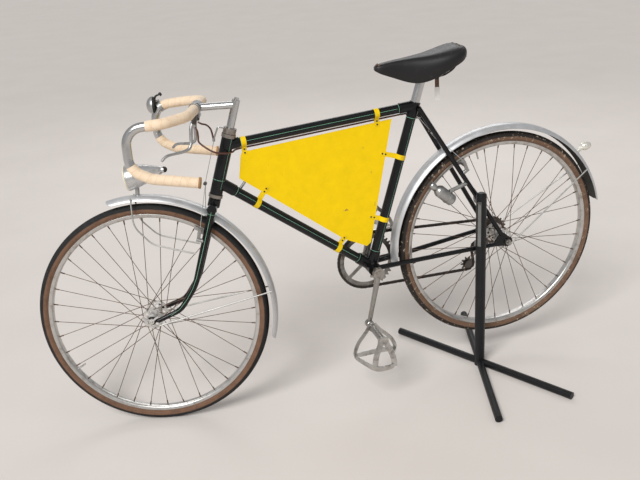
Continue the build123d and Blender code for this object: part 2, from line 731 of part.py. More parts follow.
# columns: ahead of the clamp, out from the middle, above the clamp
lever_points = ((7.0, 36.0, -32.6), (13.0, 44.0, -96.6), (54.1, 70.0, -114.6), (89.1, 92.0, -120.6))
levers = []
for side in (1, -1):
    ring_band = rod((clamp_at[0], side * 24, clamp_at[2]), (clamp_at[0], side * 38, clamp_at[2]),
                    bar_r + 3) - bar
    body = rod((clamp_at[0], side * 31, clamp_at[2] - 14), from_clamp(5, side * 34, -38.6), 7)
    blade = bend([from_clamp(x, side * y, z) for x, y, z in lever_points], [18, 30], 4)
    levers.append(cut(ring_band + body + blade, bar))
keep("brake_levers", levers, True)

pad_size = (9.0, 6.0, 34.0)
pad_in_y = 18.0
brake_boss_r = 5.6
brake_mid_r = (rim_inner_r + rim_outer_r) / 2


def rim_point(axle, angle):
    a = math.radians(angle)
    return Vector(axle[0] + brake_mid_r * math.cos(a), 0, axle[1] + brake_mid_r * math.sin(a))


def brake_pad(axle, angle, side):
    """A brake block beside the rim, its long side along the rim."""
    middle = rim_point(axle, angle)
    y = side * (pad_in_y + pad_size[1] / 2)
    return Pos(middle.X, y, middle.Z) * Rot(0, -angle, 0) * Box(pad_size[0], pad_size[1], pad_size[2])


def cantilever(axle, angle, side, foot, along, away, stays_cut):
    """One arm: a boss on the back of the stay, a flat arm up and out from it, and the pad's pin."""
    middle = rim_point(axle, angle)
    boss = rod(foot + away * 2, foot + away * 24, brake_boss_r)
    knee = foot + away * brake_behind
    reach = along * brake_arm[0] + Vector(0, side * brake_arm_out, 0)
    arm = Plane(origin=knee, x_dir=away, z_dir=reach) * Box(brake_arm[1], brake_arm[2], reach.length,
            align=MIN)
    pin = rod((middle.X, side * (pad_in_y + 4), middle.Z), (middle.X, side * (abs(foot.Y) + 19), middle.Z),
              brake_pin_r)
    return cut(boss + arm + pin, *stays_cut) + brake_pad(axle, angle, side)


def arm_top(foot, along, away, side):
    """Where a straddle wire ends on a brake arm."""
    top = foot + away * brake_behind + along * (brake_arm[0] + 0.4) + Vector(0, side * brake_arm_out, 0)
    return (top.X, top.Y, top.Z)


brake_arm = (42.0, 9.0, 6.0)
brake_arm_out = 24.0
brake_pin_r = 3.2
brake_behind = 19.0
brake_below = 24.0
front_pad_angle = 123.0
rear_pad_angle = 61.8
up_fork = Vector(ax[0], 0, ax[1])
ahead_fork = Vector(ahead[0], 0, ahead[1])
front_foot_s = (rim_point(front_axle, front_pad_angle) - Vector(*on_axis(0))).dot(up_fork) - brake_below
front_brake = []
rear_brake = []
front_tops = []
rear_tops = []
ss_far = Vector(ss_top[0] - 6, 0, ss_top[2])
ss_near = Vector(18, 0, rear_axle[1] + 24)
up_stay = (ss_far - ss_near).normalized()
back_stay = Vector(-up_stay.Z, 0, up_stay.X)
rear_foot_s = (rim_point(rear_axle, rear_pad_angle) - ss_near).dot(up_stay) - brake_below
rear_foot_y = drop_y - (drop_y - 20) * rear_foot_s / (ss_far - ss_near).length
for side in (1, -1):
    front_brake.append(cantilever(front_axle, front_pad_angle, side,
                                  Vector(*on_axis(front_foot_s, 0, side * 37)),
                                  up_fork, ahead_fork, [fork]))
    front_tops.append(arm_top(Vector(*on_axis(front_foot_s, 0, side * 37)), up_fork, ahead_fork, side))
    rear_foot = ss_near + up_stay * rear_foot_s + Vector(0, side * rear_foot_y, 0)
    rear_brake.append(cantilever(rear_axle, rear_pad_angle, side, rear_foot, up_stay, back_stay, seat_stays))
    rear_tops.append(arm_top(rear_foot, up_stay, back_stay, side))
keep("brake_front", front_brake, True)
keep("brake_rear", rear_brake)

dyn_dir = Vector(232, 0, 206).normalized()
dyn_top = Vector(232, 34, 603)
# columns: radius, distance down from the roller's middle
dynamo_profile = (
    (0, 9), (8, 9), (10, 7), (10, -8), (6, -8), (6, -14), (11, -17), (15, -22), (18, -28), (18, -62),
    (19.5, -62),
    (19.5, -66), (18, -66), (18, -80), (15, -84), (0, -84),
)
dyn_plane = Plane(origin=dyn_top + Vector(0, 4, 0), x_dir=(0, 1, 0), z_dir=dyn_dir)
dyn = dyn_plane * revolve(make_face(Plane.XZ * Polyline(*dynamo_profile, close=True)), Axis.Z)
keep("dynamo", cut(dyn + rod((124, 44, 597), (180, 44, 580), 6), *seat_stays))

# columns: radius, distance back from the lamp's foot
tail_profile = ((0, 0), (9, 0), (12, 6), (12, 12), (13.5, 12), (13.5, 16), (12, 16), (11, 24), (7, 30),
                (0, 32))
tail_at = round_axle(rear_axle, 139.5, guard_crown_r + 19)
tail_plane = Plane(origin=tail_at, x_dir=(0, 1, 0), z_dir=(-0.995, 0, 0.1))
tail = tail_plane * revolve(make_face(Plane.XZ * Polyline(*tail_profile, close=True)), Axis.Z)
tail_foot = rod(round_axle(rear_axle, 139.5, guard_crown_r - 4), (tail_at[0] - 6, 0, tail_at[2]), 6)
keep("tail_lamp", cut(tail + tail_foot, rear_guard))

# Brake cables: housings, their stops, the bare wires, and the wires that straddle the wheels

housing_r = 2.4
wire_r = 0.9
stop_r = 4.0
# where each wire leaves its stop, and where it meets the straddle wire
front_stop = on_axis(528.7, 35.65)
front_stop_top = on_axis(533.2, 36.8)
front_yoke = on_axis(409.2, 34.8)


def from_seat(dx, y, dz):
    """A place ahead of and above the point where the top tube meets the seat tube."""
    return (tt_seat[0] + dx, y, tt_seat[2] + dz)


def under_top(x, y, drop):
    """A place below the top tube's middle line."""
    along = (x - tt_seat[0]) / (tt_head[0] - tt_seat[0])
    return (x, y, tt_seat[2] + along * (tt_head[2] - tt_seat[2]) - drop)


rear_stop = from_seat(-17.3, -3.0, -41.0)
rear_yoke = from_seat(-48.3, 0.0, -80.0)
# columns: x, y, z from the lever to the stop
front_housing = (from_clamp(3.1, -33, -43.6), from_clamp(-8.9, -26, -57.6), from_clamp(-25.9, -13, -59.6),
                 from_clamp(-35.9, -3, -71.6), front_stop_top)
lever_housing = (from_clamp(2.1, 35.5, -46.6), from_clamp(-2.9, 39, -56.6), from_clamp(-3.9, 40, -70.6))
steer_gap = 0.3
head_side = on_axis(497.0, 0.0)
rear_housing = (
    from_clamp(-3.9, 40, -70.6 - steer_gap), from_clamp(-5.9, 40, -88.6), from_clamp(-27.9, 40, -108.6),
    (head_side[0] + 2, 36, 786), under_top(head_side[0] - 24, 8, 20.5),
    under_top(head_side[0] - 42, -8, 19.8),
    under_top(tt_seat[0] + 62.7, -8, 20.0), from_seat(32.7, -18, -26), from_seat(4.7, -22, -27),
    from_seat(-12.3, -11, -33), from_seat(-16.8, -3.6, -39),
)


def straddle(yoke, tops):
    """A pinched yoke on the wire, and the wires from it to both brake arms."""
    pieces = [rod((yoke[0], -3.5, yoke[2]), (yoke[0], 3.5, yoke[2]), 5.0)]
    for top in tops:
        away = (Vector(*top) - Vector(*yoke)).normalized()
        pieces.append(rod(Vector(*yoke) + away * 5.2, Vector(*top), wire_r))
    return pieces


hanger_s = locknut_s - 5.0
hanger = cut(bend([on_axis(hanger_s, 10), on_axis(hanger_s, 33), front_stop_top], [5], 2.4),
             rod(on_axis(head_top_s), on_axis(locknut_s), locknut_r))
stop_clip = cut(rod((rear_stop[0] + 1, rear_stop[1], rear_stop[2] + 2), on_seat(seat_tube_len - 49), 2.4),
                rod(on_seat(400), on_seat(seat_tube_len), seat_tube_r))
front_pieces = [
    bend(front_housing, [12, 9, 10], housing_r), bend(lever_housing, [24], housing_r),
    hanger + rod(front_stop, front_stop_top, stop_r), rod(front_stop, front_yoke, wire_r),
    *straddle(front_yoke, front_tops),
]
rear_pieces = [
    bend(rear_housing, [16, 22, 34, 34, 28, 30, 26, 16, 10], housing_r),
    stop_clip + rod(rear_stop, from_seat(-16.8, -3.6, -39), stop_r), rod(rear_stop, rear_yoke, wire_r),
    *straddle(rear_yoke, rear_tops),
]
keep("cable_front", front_pieces, True)
keep("cable_rear", rear_pieces)

# Sign plate

sign_t = 2.0
sign_front, sign_back = under_top(774, 0, 28.9), under_top(339, 0, 25.0)
sign_corners = (
    (sign_front[0], sign_front[2]), (sign_back[0], sign_back[2]), (415, 444), (428, 434), (498, 469),
    (789, 700), (779, 764),
)
keep("sign_plate", extrude(Plane(origin=(0, sign_t / 2, 0), x_dir=(1, 0, 0), z_dir=(0, -1, 0))
                           * make_face(Polyline(*sign_corners, close=True)), sign_t))
strap_w = 14.0
strap_t = 0.8
down_slope = (dt_head[2] - bb_z) / (dt_head[0] - bb_x)
top_slope = (tt_seat[2] - tt_head[2]) / (tt_seat[0] - tt_head[0])
seat_low_z = 511.0
seat_high_z = 693.0
# columns: tube middle x, z, tube angle, tube radius, direction to the plate in degrees, reach
strap_table = (
    (769, tt_head[2] + (769 - tt_head[0]) * top_slope, math.degrees(math.atan(top_slope)), top_tube_r,
     -94.1, 38),
    (385, tt_head[2] + (385 - tt_head[0]) * top_slope, math.degrees(math.atan(top_slope)), top_tube_r,
     -94.1, 38),
    (on_seat((seat_high_z - bb_z) / seat_dir[1])[0], seat_high_z, 180 - seat_angle, seat_tube_r, 17.4, 64),
    (on_seat((seat_low_z - bb_z) / seat_dir[1])[0], seat_low_z, 180 - seat_angle, seat_tube_r, 17.4, 48),
    (746, bb_z + (746 - bb_x) * down_slope, math.degrees(math.atan(down_slope)), down_tube_r, 127.5, 54),
    (518, bb_z + (518 - bb_x) * down_slope, math.degrees(math.atan(down_slope)), down_tube_r, 127.5, 40),
)
straps = []
for x, z, along, r, to, reach in strap_table:
    a, t = math.radians(along), math.radians(to)
    half = strap_w / 2
    p = (x - half * math.cos(a), 0, z - half * math.sin(a))
    q = (x + half * math.cos(a), 0, z + half * math.sin(a))
    band = rod(p, q, r + strap_t)
    mid = r + (reach - r) / 2
    for side in (1, -1):
        place = Pos(x + mid * math.cos(t), side * (sign_t / 2 + strap_t / 2),
                    z + mid * math.sin(t)) * Rot(0, -to, 0)
        band = band + place * Box(reach - r, strap_t, strap_w)
    straps.append(band - rod((x - 20 * math.cos(a), 0, z - 20 * math.sin(a)),
                             (x + 20 * math.cos(a), 0, z + 20 * math.sin(a)), r))
keep("plate_straps", straps)

# Bar tape, ends and saddle parts

tape_r = bar_r + 1.6
tape = []
for points, radii in (
    ([(0.0, 46.0, 0.0), *bar_points[1:3], (84.1, bar_half_w, -7.79)], [60, 40]),
    ([(122.1, bar_half_w, -128.87), *bar_points[5:7]], [60]),
):
    sleeve = bend([from_clamp(*p) for p in points], radii, tape_r)
    tape += [sleeve - bar, mirrored(sleeve) - bar]
keep("bar_tape", tape, True)
end_a = from_clamp(*bar_points[6])
end_b = toward(end_a, from_clamp(*bar_points[5]), -5)
cap = rod(end_a, end_b, 14.5)
keep("bar_end_caps", [cap, mirrored(cap)], True)
saddle_top = made["saddle_top"][0]
rail_points = ((124, 10, 45), (62, 20, 13), (-48, 24, 12), (-108, 40, 55))
stay_rod([(saddle_clamp[0] + dx, y, saddle_clamp[2] + dz) for dx, y, dz in rail_points], [30, 30], 3.5,
         "saddle_rails", False,
         [saddle_top, *made["saddle_clamp"], *made["seat_post"]])
shift = rod((792, -down_tube_r, 656), (792, -down_tube_r - 9, 656), 8) + rod((792, -down_tube_r - 6, 656),
        (762, -down_tube_r - 6, 692), 4)
keep("shift_lever", cut(shift, down_tube))

# Stand

hooks = []
for z_low, y_in in ((380, 46), (535, 38)):
    hooks.append(bend([(post_at[0], post_at[1] - post_r + 2, z_low), (post_at[0], y_in, z_low),
                       (post_at[0], y_in, z_low + 26)],
                      [8], 4.0))
foot_z = floor_z + foot_r
post_cap = 5.0
post = rod((*post_at, floor_z), (*post_at, post_top_z - post_cap), post_r) + rod(
    (*post_at, post_top_z - post_cap), (*post_at, post_top_z), post_r, post_r * 0.62)
strip_turn = 47.0
strip = Pos(*post_at, 480) * Rot(0, 0, strip_turn) * Pos(post_r + 1.2, 0, 0) * Box(3.0, 10.0, 138.0)
strip_hook = Pos(*post_at, 549) * Rot(0, 0, strip_turn) * Pos(post_r + 5.5, 0, 0) * Box(11.6, 10.0, 3.0)
feet = []
for azimuth in foot_azimuths:
    a = math.radians(azimuth)
    end = (post_at[0] + foot_len * math.cos(a), post_at[1] + foot_len * math.sin(a), foot_z)
    feet.append(rod((post_at[0], post_at[1], foot_z), end, foot_r) - post)
hooks = [cut(h, post, *stays, *seat_stays) for h in hooks]
keep("stand_hooks", [*hooks, cut(strip + strip_hook, post)])
keep("stand_post", post)
keep("stand_feet", feet)

count = 0
for name, solids in made.items():
    moved = [Pos(*origin_shift) * s for s in solids]
    shape = moved[0] if len(moved) == 1 else Compound(children=moved)
    export_step(shape, os.path.join("parts", name + ".step"))
    count += len(moved)
print(len(made), "nodes", count, "solids")
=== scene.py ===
import math
import bpy
from mathutils import Matrix, Vector


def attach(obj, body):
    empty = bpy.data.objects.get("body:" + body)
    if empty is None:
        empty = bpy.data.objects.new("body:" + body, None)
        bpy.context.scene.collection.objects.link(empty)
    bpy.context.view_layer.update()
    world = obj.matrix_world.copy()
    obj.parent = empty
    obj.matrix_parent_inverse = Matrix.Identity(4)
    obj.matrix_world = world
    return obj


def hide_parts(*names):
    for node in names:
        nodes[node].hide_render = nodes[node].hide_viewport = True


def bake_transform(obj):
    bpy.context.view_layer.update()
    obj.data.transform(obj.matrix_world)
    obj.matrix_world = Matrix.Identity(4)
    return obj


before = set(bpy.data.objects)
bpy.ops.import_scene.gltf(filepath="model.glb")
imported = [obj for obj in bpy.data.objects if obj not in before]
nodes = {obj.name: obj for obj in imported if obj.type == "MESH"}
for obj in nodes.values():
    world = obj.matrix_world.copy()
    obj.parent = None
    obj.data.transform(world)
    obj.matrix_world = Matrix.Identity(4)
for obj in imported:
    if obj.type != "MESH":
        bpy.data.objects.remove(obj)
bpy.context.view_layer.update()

# Driving sizes in mm. X is forward, Y is the bicycle's left, and the rear axle is above the origin.
# place() turns a point into the shared frame, in metres.
FRAME_ORIGIN = Vector((97.0, 82.0, 0.0))
WHEELBASE, FRONT_AXLE_Z, REAR_AXLE_Z = 1069.6, 327.0, 397.0
HEAD_ANGLE = math.radians(72.06)
SEAT_ANGLE = math.radians(72.6)
STEER_REST = math.radians(-17.0)
AXLE_AHEAD = 97.4
BRACKET = Vector((416.6, 0, 368.0))
TOP_TUBE_FRONT_Z = 799.0
DOWN_TUBE_FRONT_Z = 699.0
SEAT_CLUSTER_S = 503.0
TOP_TUBE_BELOW = 10.48
STEM_S, STEM_AHEAD, STEM_RISE = 646.0, 108.0, -7.0
HEAD_R, TOP_R, DOWN_R, SEAT_R = 17.5, 13.0, 14.0, 14.0
CRANK_LENGTH = 158.0
CABLE_R, WIRE_R = 2.5, 0.9

AXIS = Vector((-math.cos(HEAD_ANGLE), 0, math.sin(HEAD_ANGLE)))
AHEAD = Vector((math.sin(HEAD_ANGLE), 0, math.cos(HEAD_ANGLE)))
FRONT = Vector((WHEELBASE, 0, FRONT_AXLE_Z))
REAR = Vector((0.0, 0, REAR_AXLE_Z))
FOOT = FRONT - AHEAD * AXLE_AHEAD
TURN = Matrix.Rotation(STEER_REST, 3, AXIS)
SEAT_DIR = Vector((-math.cos(SEAT_ANGLE), 0, math.sin(SEAT_ANGLE)))


def steer(p):
    """A point of the steered group, turned to where it is at rest."""
    return FOOT + TURN @ (Vector(p) - FOOT)


def place(p, turned=False):
    p = steer(p) if turned else Vector(p)
    return (p - FRAME_ORIGIN) / 1000.0


def on_axis(s, off=0.0, y=0.0):
    """A point at s along the steering axis, and off ahead of it."""
    return FOOT + AXIS * s + AHEAD * off + Vector((0, y, 0))


def on_seat(s):
    """A point at s up the seat tube."""
    return BRACKET + SEAT_DIR * s


CLAMP = on_axis(STEM_S) + Vector((STEM_AHEAD, 0, STEM_RISE))
TOP_HEAD = on_axis((TOP_TUBE_FRONT_Z - FOOT.z) / AXIS.z)
DOWN_HEAD = on_axis((DOWN_TUBE_FRONT_Z - FOOT.z) / AXIS.z)
TOP_SEAT = on_seat(SEAT_CLUSTER_S - TOP_TUBE_BELOW)


def by_clamp(dx, y, dz):
    """A point measured from the stem's bar clamp."""
    return (CLAMP.x + dx, y, CLAMP.z + dz)


def by_seat(dx, y, dz):
    """A point measured from where the top tube meets the seat tube."""
    return (TOP_SEAT.x + dx, y, TOP_SEAT.z + dz)


def under_top(x, y, drop):
    """A point at a drop below the top tube's middle."""
    t = (x - TOP_SEAT.x) / (TOP_HEAD.x - TOP_SEAT.x)
    return (x, y, TOP_SEAT.z + t * (TOP_HEAD.z - TOP_SEAT.z) - drop)


def seat_tube_x(z):
    return on_seat((z - BRACKET.z) / SEAT_DIR.z).x


def down_tube_z(x):
    return BRACKET.z + (x - BRACKET.x) * (DOWN_HEAD.z - BRACKET.z) / (DOWN_HEAD.x - BRACKET.x)


# Materials

BROAD_SCALE = 25.0


class Nodes:
    """A short way to lay out a material's nodes."""

    def __init__(self, name):
        self.mat = bpy.data.materials.new(name)
        self.mat.use_nodes = True
        self.tree = self.mat.node_tree
        self.shader = self.tree.nodes["Principled BSDF"]

    def put(self, socket, value):
        """Gives a socket a number, a size or a colour, or links another node's output to it."""
        if isinstance(value, (int, float)):
            socket.default_value = value
        elif isinstance(value, tuple):
            socket.default_value = (*value, 1.0) if socket.type == "RGBA" else value
        else:
            self.tree.links.new(value, socket)

    def surface(self, socket, value):
        self.put(self.shader.inputs[socket], value)

    def add(self, kind, inputs, **settings):
        """The outputs of a new node."""
        node = self.tree.nodes.new("ShaderNode" + kind)
        for key, value in settings.items():
            setattr(node, key, value)
        for socket, value in inputs.items():
            self.put(node.inputs[socket], value)
        return node.outputs

    def coords(self, space="Object", stretch=(1, 1, 1)):
        raw = self.add("TexCoord", {})[space]
        return self.add("Mapping", {"Vector": raw, "Scale": stretch})["Vector"]

    def split(self, vector):
        return self.add("SeparateXYZ", {"Vector": vector})

    def noise(self, vector, scale, detail=5.0, rough=0.6):
        inputs = {"Vector": vector, "Scale": scale, "Detail": detail, "Roughness": rough}
        return self.add("TexNoise", inputs)["Fac"]

    def wave(self, vector, direction, scale):
        inputs = {"Vector": vector, "Scale": scale}
        return self.add("TexWave", inputs, wave_type="BANDS", bands_direction=direction)["Fac"]

    def ramp(self, fac, stops):
        node = self.tree.nodes.new("ShaderNodeValToRGB")
        while len(node.color_ramp.elements) < len(stops):
            node.color_ramp.elements.new(0.5)
        for element, (position, colour) in zip(node.color_ramp.elements, stops):
            element.position = position
            element.color = (*colour, 1.0)
        self.put(node.inputs["Fac"], fac)
        return node.outputs["Color"]

    def mask(self, vector, scale, start, end, detail=8, rough=0.7):
        """White patches that come up between two levels of a noise."""
        return self.ramp(self.noise(vector, scale, detail, rough), mask_stops(start, end))

    def mix(self, fac, a, b):
        return self.add("Mix", {"Factor": fac, "A": a, "B": b}, data_type="RGBA")["Result"]

    def span(self, fac, lo, hi):
        return self.add("MapRange", {"Value": fac, "To Min": lo, "To Max": hi})["Result"]

    def bump(self, height, strength, distance):
        inputs = {"Height": height, "Strength": strength, "Distance": distance}
        return self.add("Bump", inputs)["Normal"]

    def maths(self, op, a, b=0.0):
        return self.add("Math", {0: a, 1: b}, operation=op)[0]


def mask_stops(*places):
    """Ramp stops that go from black to white, and back where there are four."""
    return list(zip(places, ((0, 0, 0), (1, 1, 1), (1, 1, 1), (0, 0, 0))))


def shade(c, k):
    return tuple(min(1.0, x * k) for x in c)


def wear(colour, scale, start=0.56, end=0.7):
    """Dirt or wear: its colour, the scale of its patches, and the levels of noise where it comes up."""
    return colour, scale, start, end


def finish(name, base, dirt, metal=0.0, rough=0.4, rough_vary=0.1, coat=0.0, vary=0.18, bump=0.15,
           bump_scale=500.0, depth=0.0003, stretch=(1, 1, 1), spec=0.5):
    """A finish whose colour, sheen and surface all vary, with patches of dirt or wear."""
    n = Nodes(name)
    v = n.coords("Object", stretch)
    colour = n.ramp(n.noise(v, BROAD_SCALE), [(0.3, shade(base, 1 - vary)), (0.5, base),
                                              (0.72, shade(base, 1 + vary))])
    dirt_colour, dirt_scale, start, end = dirt
    n.surface("Base Color", n.mix(n.mask(v, dirt_scale, start, end), colour, dirt_colour))
    n.surface("Roughness", n.span(n.noise(v, BROAD_SCALE * 2.3), max(0.03, rough - rough_vary),
                                  min(1.0, rough + rough_vary)))
    n.surface("Normal", n.bump(n.noise(v, bump_scale), bump, depth))
    n.surface("Metallic", metal)
    n.surface("Coat Weight", coat)
    n.surface("Coat Roughness", 0.08)
    n.surface("Specular IOR Level", spec)
    return n.mat


RUST = (0.2, 0.085, 0.035)
GRIME = (0.11, 0.075, 0.05)
black = finish("gloss_black", (0.0055, 0.0057, 0.0065), wear((0.04, 0.03, 0.022), 26, 0.64, 0.82),
               rough=0.22, rough_vary=0.08, coat=0.08, vary=0.3, bump=0.05, bump_scale=160, spec=0.28)
stand_black = finish("satin_black", (0.0075, 0.0078, 0.009), wear((0.09, 0.085, 0.08), 40, 0.64, 0.78),
                     vary=0.25, bump=0.12, bump_scale=700, spec=0.3)
alloy = finish("dull_alloy", (0.42, 0.42, 0.41), wear((0.22, 0.2, 0.17), 20, 0.5, 0.75), metal=0.9,
               rough=0.36, stretch=(1, 1, 1.4))
guard_alloy = finish("guard_alloy", (0.64, 0.645, 0.655), wear((0.46, 0.45, 0.43), 9, 0.5, 0.8),
                     metal=0.7, rough=0.42, vary=0.1, bump=0.08, bump_scale=300)
# The guards' inner faces are painted near black as painted shade under the guards. The lighter patches on
# them are grime.
guard_inside_shade = finish("guard_inside_shade", (0.07, 0.066, 0.06), wear(GRIME, 30), metal=0.4, rough=0.65)
polished = finish("polished_alloy", (0.58, 0.58, 0.575), wear((0.3, 0.26, 0.21), 34, 0.62, 0.82),
                  metal=1.0, rough=0.22, rough_vary=0.07, vary=0.08, bump=0.05)
steel = finish("worn_plate", (0.36, 0.345, 0.32), wear(RUST, 60), metal=0.95, rough=0.3, rough_vary=0.12,
               bump=0.25, bump_scale=900)
wire = finish("bright_wire", (0.5, 0.495, 0.47), wear(RUST, 50, 0.66, 0.8), metal=0.9, rough=0.42)
spoke_steel = finish("spoke_steel", (0.13, 0.08, 0.052), wear((0.06, 0.032, 0.02), 30, 0.45, 0.65),
                     metal=0.4, rough=0.5)
rusty = finish("rusty_steel", (0.04, 0.034, 0.03), wear((0.13, 0.075, 0.045), 90, 0.55, 0.72), metal=0.6,
               rough=0.5, vary=0.4, bump=0.5, bump_scale=1200, depth=0.0005)
ring_steel = finish("ring_steel", (0.27, 0.26, 0.245), wear((0.09, 0.06, 0.042), 55, 0.5, 0.68),
                    metal=0.85, rough_vary=0.15, vary=0.25, bump=0.3, bump_scale=900)
dark_steel = finish("oily_steel", (0.11, 0.105, 0.1), wear((0.09, 0.055, 0.035), 80, 0.55), metal=0.8,
                    rough=0.38, bump=0.3, bump_scale=1000)
race = finish("headset_steel", (0.3, 0.27, 0.24), wear((0.16, 0.085, 0.05), 70, 0.54, 0.68), metal=0.9,
              rough=0.34, bump=0.3, bump_scale=900)
yellow = finish("sign_yellow", (0.93, 0.63, 0.0), wear((0.33, 0.17, 0.05), 46, 0.65, 0.71), vary=0.06,
                bump=0.08, bump_scale=250, spec=0.2)
strap_yellow = finish("strap_yellow", (0.88, 0.6, 0.0), wear((0.2, 0.11, 0.04), 120, 0.6), rough=0.45,
                      vary=0.12, spec=0.3)
green = finish("line_green", (0.2, 0.46, 0.3), wear((0.03, 0.05, 0.03), 160, 0.6, 0.66), rough=0.3,
               vary=0.2)
cap_brown = finish("cap_ochre", (0.36, 0.19, 0.07), wear((0.16, 0.09, 0.05), 200), rough=0.6, vary=0.25)
housing = finish("housing_brown", (0.11, 0.04, 0.028), wear((0.08, 0.04, 0.03), 120), rough=0.35,
                 vary=0.2)
zinc = finish("dull_zinc", (0.2, 0.2, 0.195), wear((0.05, 0.045, 0.04), 70), metal=0.5, rough=0.5)
bell_plate = finish("bell_plate", (0.5, 0.5, 0.495), wear((0.28, 0.26, 0.23), 60), metal=0.95, rough=0.38,
                    vary=0.12)
pedal_plate = finish("pedal_plate", (0.5, 0.495, 0.48), wear((0.14, 0.12, 0.1), 45, 0.52), metal=1.0,
                     rough=0.3, rough_vary=0.14, vary=0.25)
hub_alloy = finish("hub_alloy", (0.66, 0.645, 0.62), wear((0.22, 0.18, 0.14), 70, 0.55, 0.72), metal=0.75,
                   rough=0.42, vary=0.2)
lamp_alloy = finish("lamp_shell", (0.6, 0.6, 0.595), wear((0.34, 0.32, 0.29), 40, 0.56, 0.76), metal=0.85,
                    rough=0.3, vary=0.1)
brass = finish("worn_brass", (0.75, 0.52, 0.2), wear((0.2, 0.12, 0.05), 150), metal=1.0, rough=0.28)
copper = finish("dull_rivet", (0.16, 0.1, 0.07), wear((0.05, 0.035, 0.03), 300), metal=0.8, rough=0.45)
dark_rubber = finish("dark_rubber", (0.02, 0.019, 0.018), wear((0.07, 0.055, 0.04), 60), rough=0.7,
                     vary=0.3)
white_tag = finish("tag_card", (0.78, 0.77, 0.73), wear((0.55, 0.5, 0.42), 120), rough=0.75, vary=0.06)
cream = finish("cream_enamel", (0.74, 0.68, 0.52), wear((0.4, 0.3, 0.18), 90, 0.6, 0.78), rough=0.3,
               vary=0.08)
lamp_cream = finish("tail_cream", (0.72, 0.7, 0.63), wear((0.35, 0.3, 0.24), 90), metal=0.5, rough=0.3)


def leather_finish():
    """Grained leather, near black at the back and worn brown towards the nose."""
    n = Nodes("saddle_leather")
    spot = n.coords()
    towards_nose = n.span(n.split(spot)["X"], -3.2, 3.05)
    worn = n.ramp(n.maths("ADD", towards_nose, n.maths("MULTIPLY", n.noise(spot, 40), 0.4)),
                  [(0.05, (0.011, 0.0105, 0.011)), (0.16, (0.02, 0.014, 0.012)), (0.4, (0.1, 0.045, 0.028)),
                   (0.75, (0.19, 0.085, 0.05))])
    scuffs = n.mask(spot, 55, 0.58, 0.74)
    n.surface("Base Color", n.mix(scuffs, worn, (0.035, 0.026, 0.023)))
    n.surface("Roughness", n.span(n.noise(spot, 90), 0.34, 0.52))
    grain = n.add("TexVoronoi", {"Vector": spot, "Scale": 620.0})["Distance"]
    n.surface("Normal", n.bump(grain, 0.22, 0.0006))
    n.surface("Specular IOR Level", 0.35)
    return n.mat


def tyre_finish(name, tread, wall, flakes, chip_from):
    """Brown walls and a dark ribbed tread, told apart by how far across the tyre a point is."""
    n = Nodes(name)
    uv = n.coords("UV")
    obj = n.coords("Object")
    rough_edge = n.maths("MULTIPLY", n.noise(obj, 60), 0.03)
    across = n.maths("ADD", n.split(uv)["Y"], n.maths("SUBTRACT", rough_edge, 0.015))
    # Painted shade: the wall is darkest next to the rim, in the crease where tyre and rim meet. Painted
    # light: the wall is lighter towards the tread.
    lit, rim_shadow, rim_crease_shade = shade(wall, 1.15), shade(wall, 0.3), shade(wall, 0.25)
    base = n.ramp(across, [(0.0, rim_crease_shade), (0.035, rim_shadow), (0.055, wall), (0.19, lit), (0.215, tread),
                           (0.785, tread), (0.81, lit), (0.945, wall), (0.965, rim_shadow), (1.0, rim_crease_shade)])
    streak = n.mask(n.coords("UV", (9, 60, 1)), 1.0, 0.36, 0.66, 6)
    base = n.mix(n.maths("MULTIPLY", streak, 0.55), base, shade(wall, 1.7))
    patch = n.mask(obj, 26, 0.46, 0.7, 9, 0.75)
    base = n.mix(n.maths("MULTIPLY", patch, 0.75), base, shade(wall, 0.5))
    worn_tread = n.ramp(n.noise(obj, 30, 8, 0.7), [(0.35, shade(tread, 0.75)), (0.55, tread),
                                                   (0.75, shade(tread, 1.9))])
    base = n.mix(n.ramp(across, mask_stops(0.2, 0.225, 0.775, 0.8)), base, worn_tread)
    chips = n.mask(obj, 110, chip_from, chip_from + 0.05, 5, 0.65)
    n.surface("Base Color", n.mix(chips, base, flakes))
    height = n.maths("ADD", n.maths("MULTIPLY", n.wave(uv, "X", 60.0), 0.5), n.wave(uv, "Y", 4.5))
    height = n.maths("ADD", height, n.noise(obj, 300))
    n.surface("Normal", n.bump(height, 0.35, 0.0008))
    n.surface("Roughness", n.span(n.noise(obj, 40), 0.6, 0.9))
    n.surface("Specular IOR Level", 0.3)
    return n.mat


def tape_finish():
    """Woven cloth tape, with painted shade along the edge of every turn where it laps the last."""
    n = Nodes("bar_cloth_tape")
    spot = n.coords()
    along_turn = n.maths("FRACT", n.split(n.coords("UV"))["X"])
    # Painted shade: each turn is darker at both ends, where it laps over the turn before.
    lap_shaded = n.ramp(along_turn, [(0.0, (0.75, 0.55, 0.37)), (0.06, (0.83, 0.65, 0.46)),
                                 (0.9, (0.85, 0.68, 0.49)), (1.0, (0.79, 0.6, 0.41))])
    n.surface("Base Color", n.mix(n.mask(spot, 60, 0.52, 0.75), lap_shaded, (0.68, 0.47, 0.3)))
    n.surface("Roughness", n.span(n.noise(spot, 80), 0.7, 0.95))
    n.surface("Normal", n.bump(n.wave(spot, "DIAGONAL", 420.0), 0.3, 0.0004))
    n.surface("Sheen Weight", 0.2)
    return n.mat


def rim_finish():
    """Bright rims with brown spots."""
    n = Nodes("rim_alloy")
    spot = n.coords()
    base = n.ramp(n.noise(spot, 45, 7, 0.7), [(0.33, (0.36, 0.33, 0.29)), (0.46, (0.54, 0.525, 0.5)),
                                              (0.7, (0.62, 0.615, 0.6))])
    n.surface("Base Color", n.mix(n.mask(spot, 120, 0.65, 0.74, 6), base, (0.19, 0.11, 0.06)))
    n.surface("Roughness", n.span(n.noise(spot, 90), 0.22, 0.4))
    n.surface("Normal", n.bump(n.noise(spot, 500), 0.2, 0.0003))
    n.surface("Metallic", 0.85)
    return n.mat


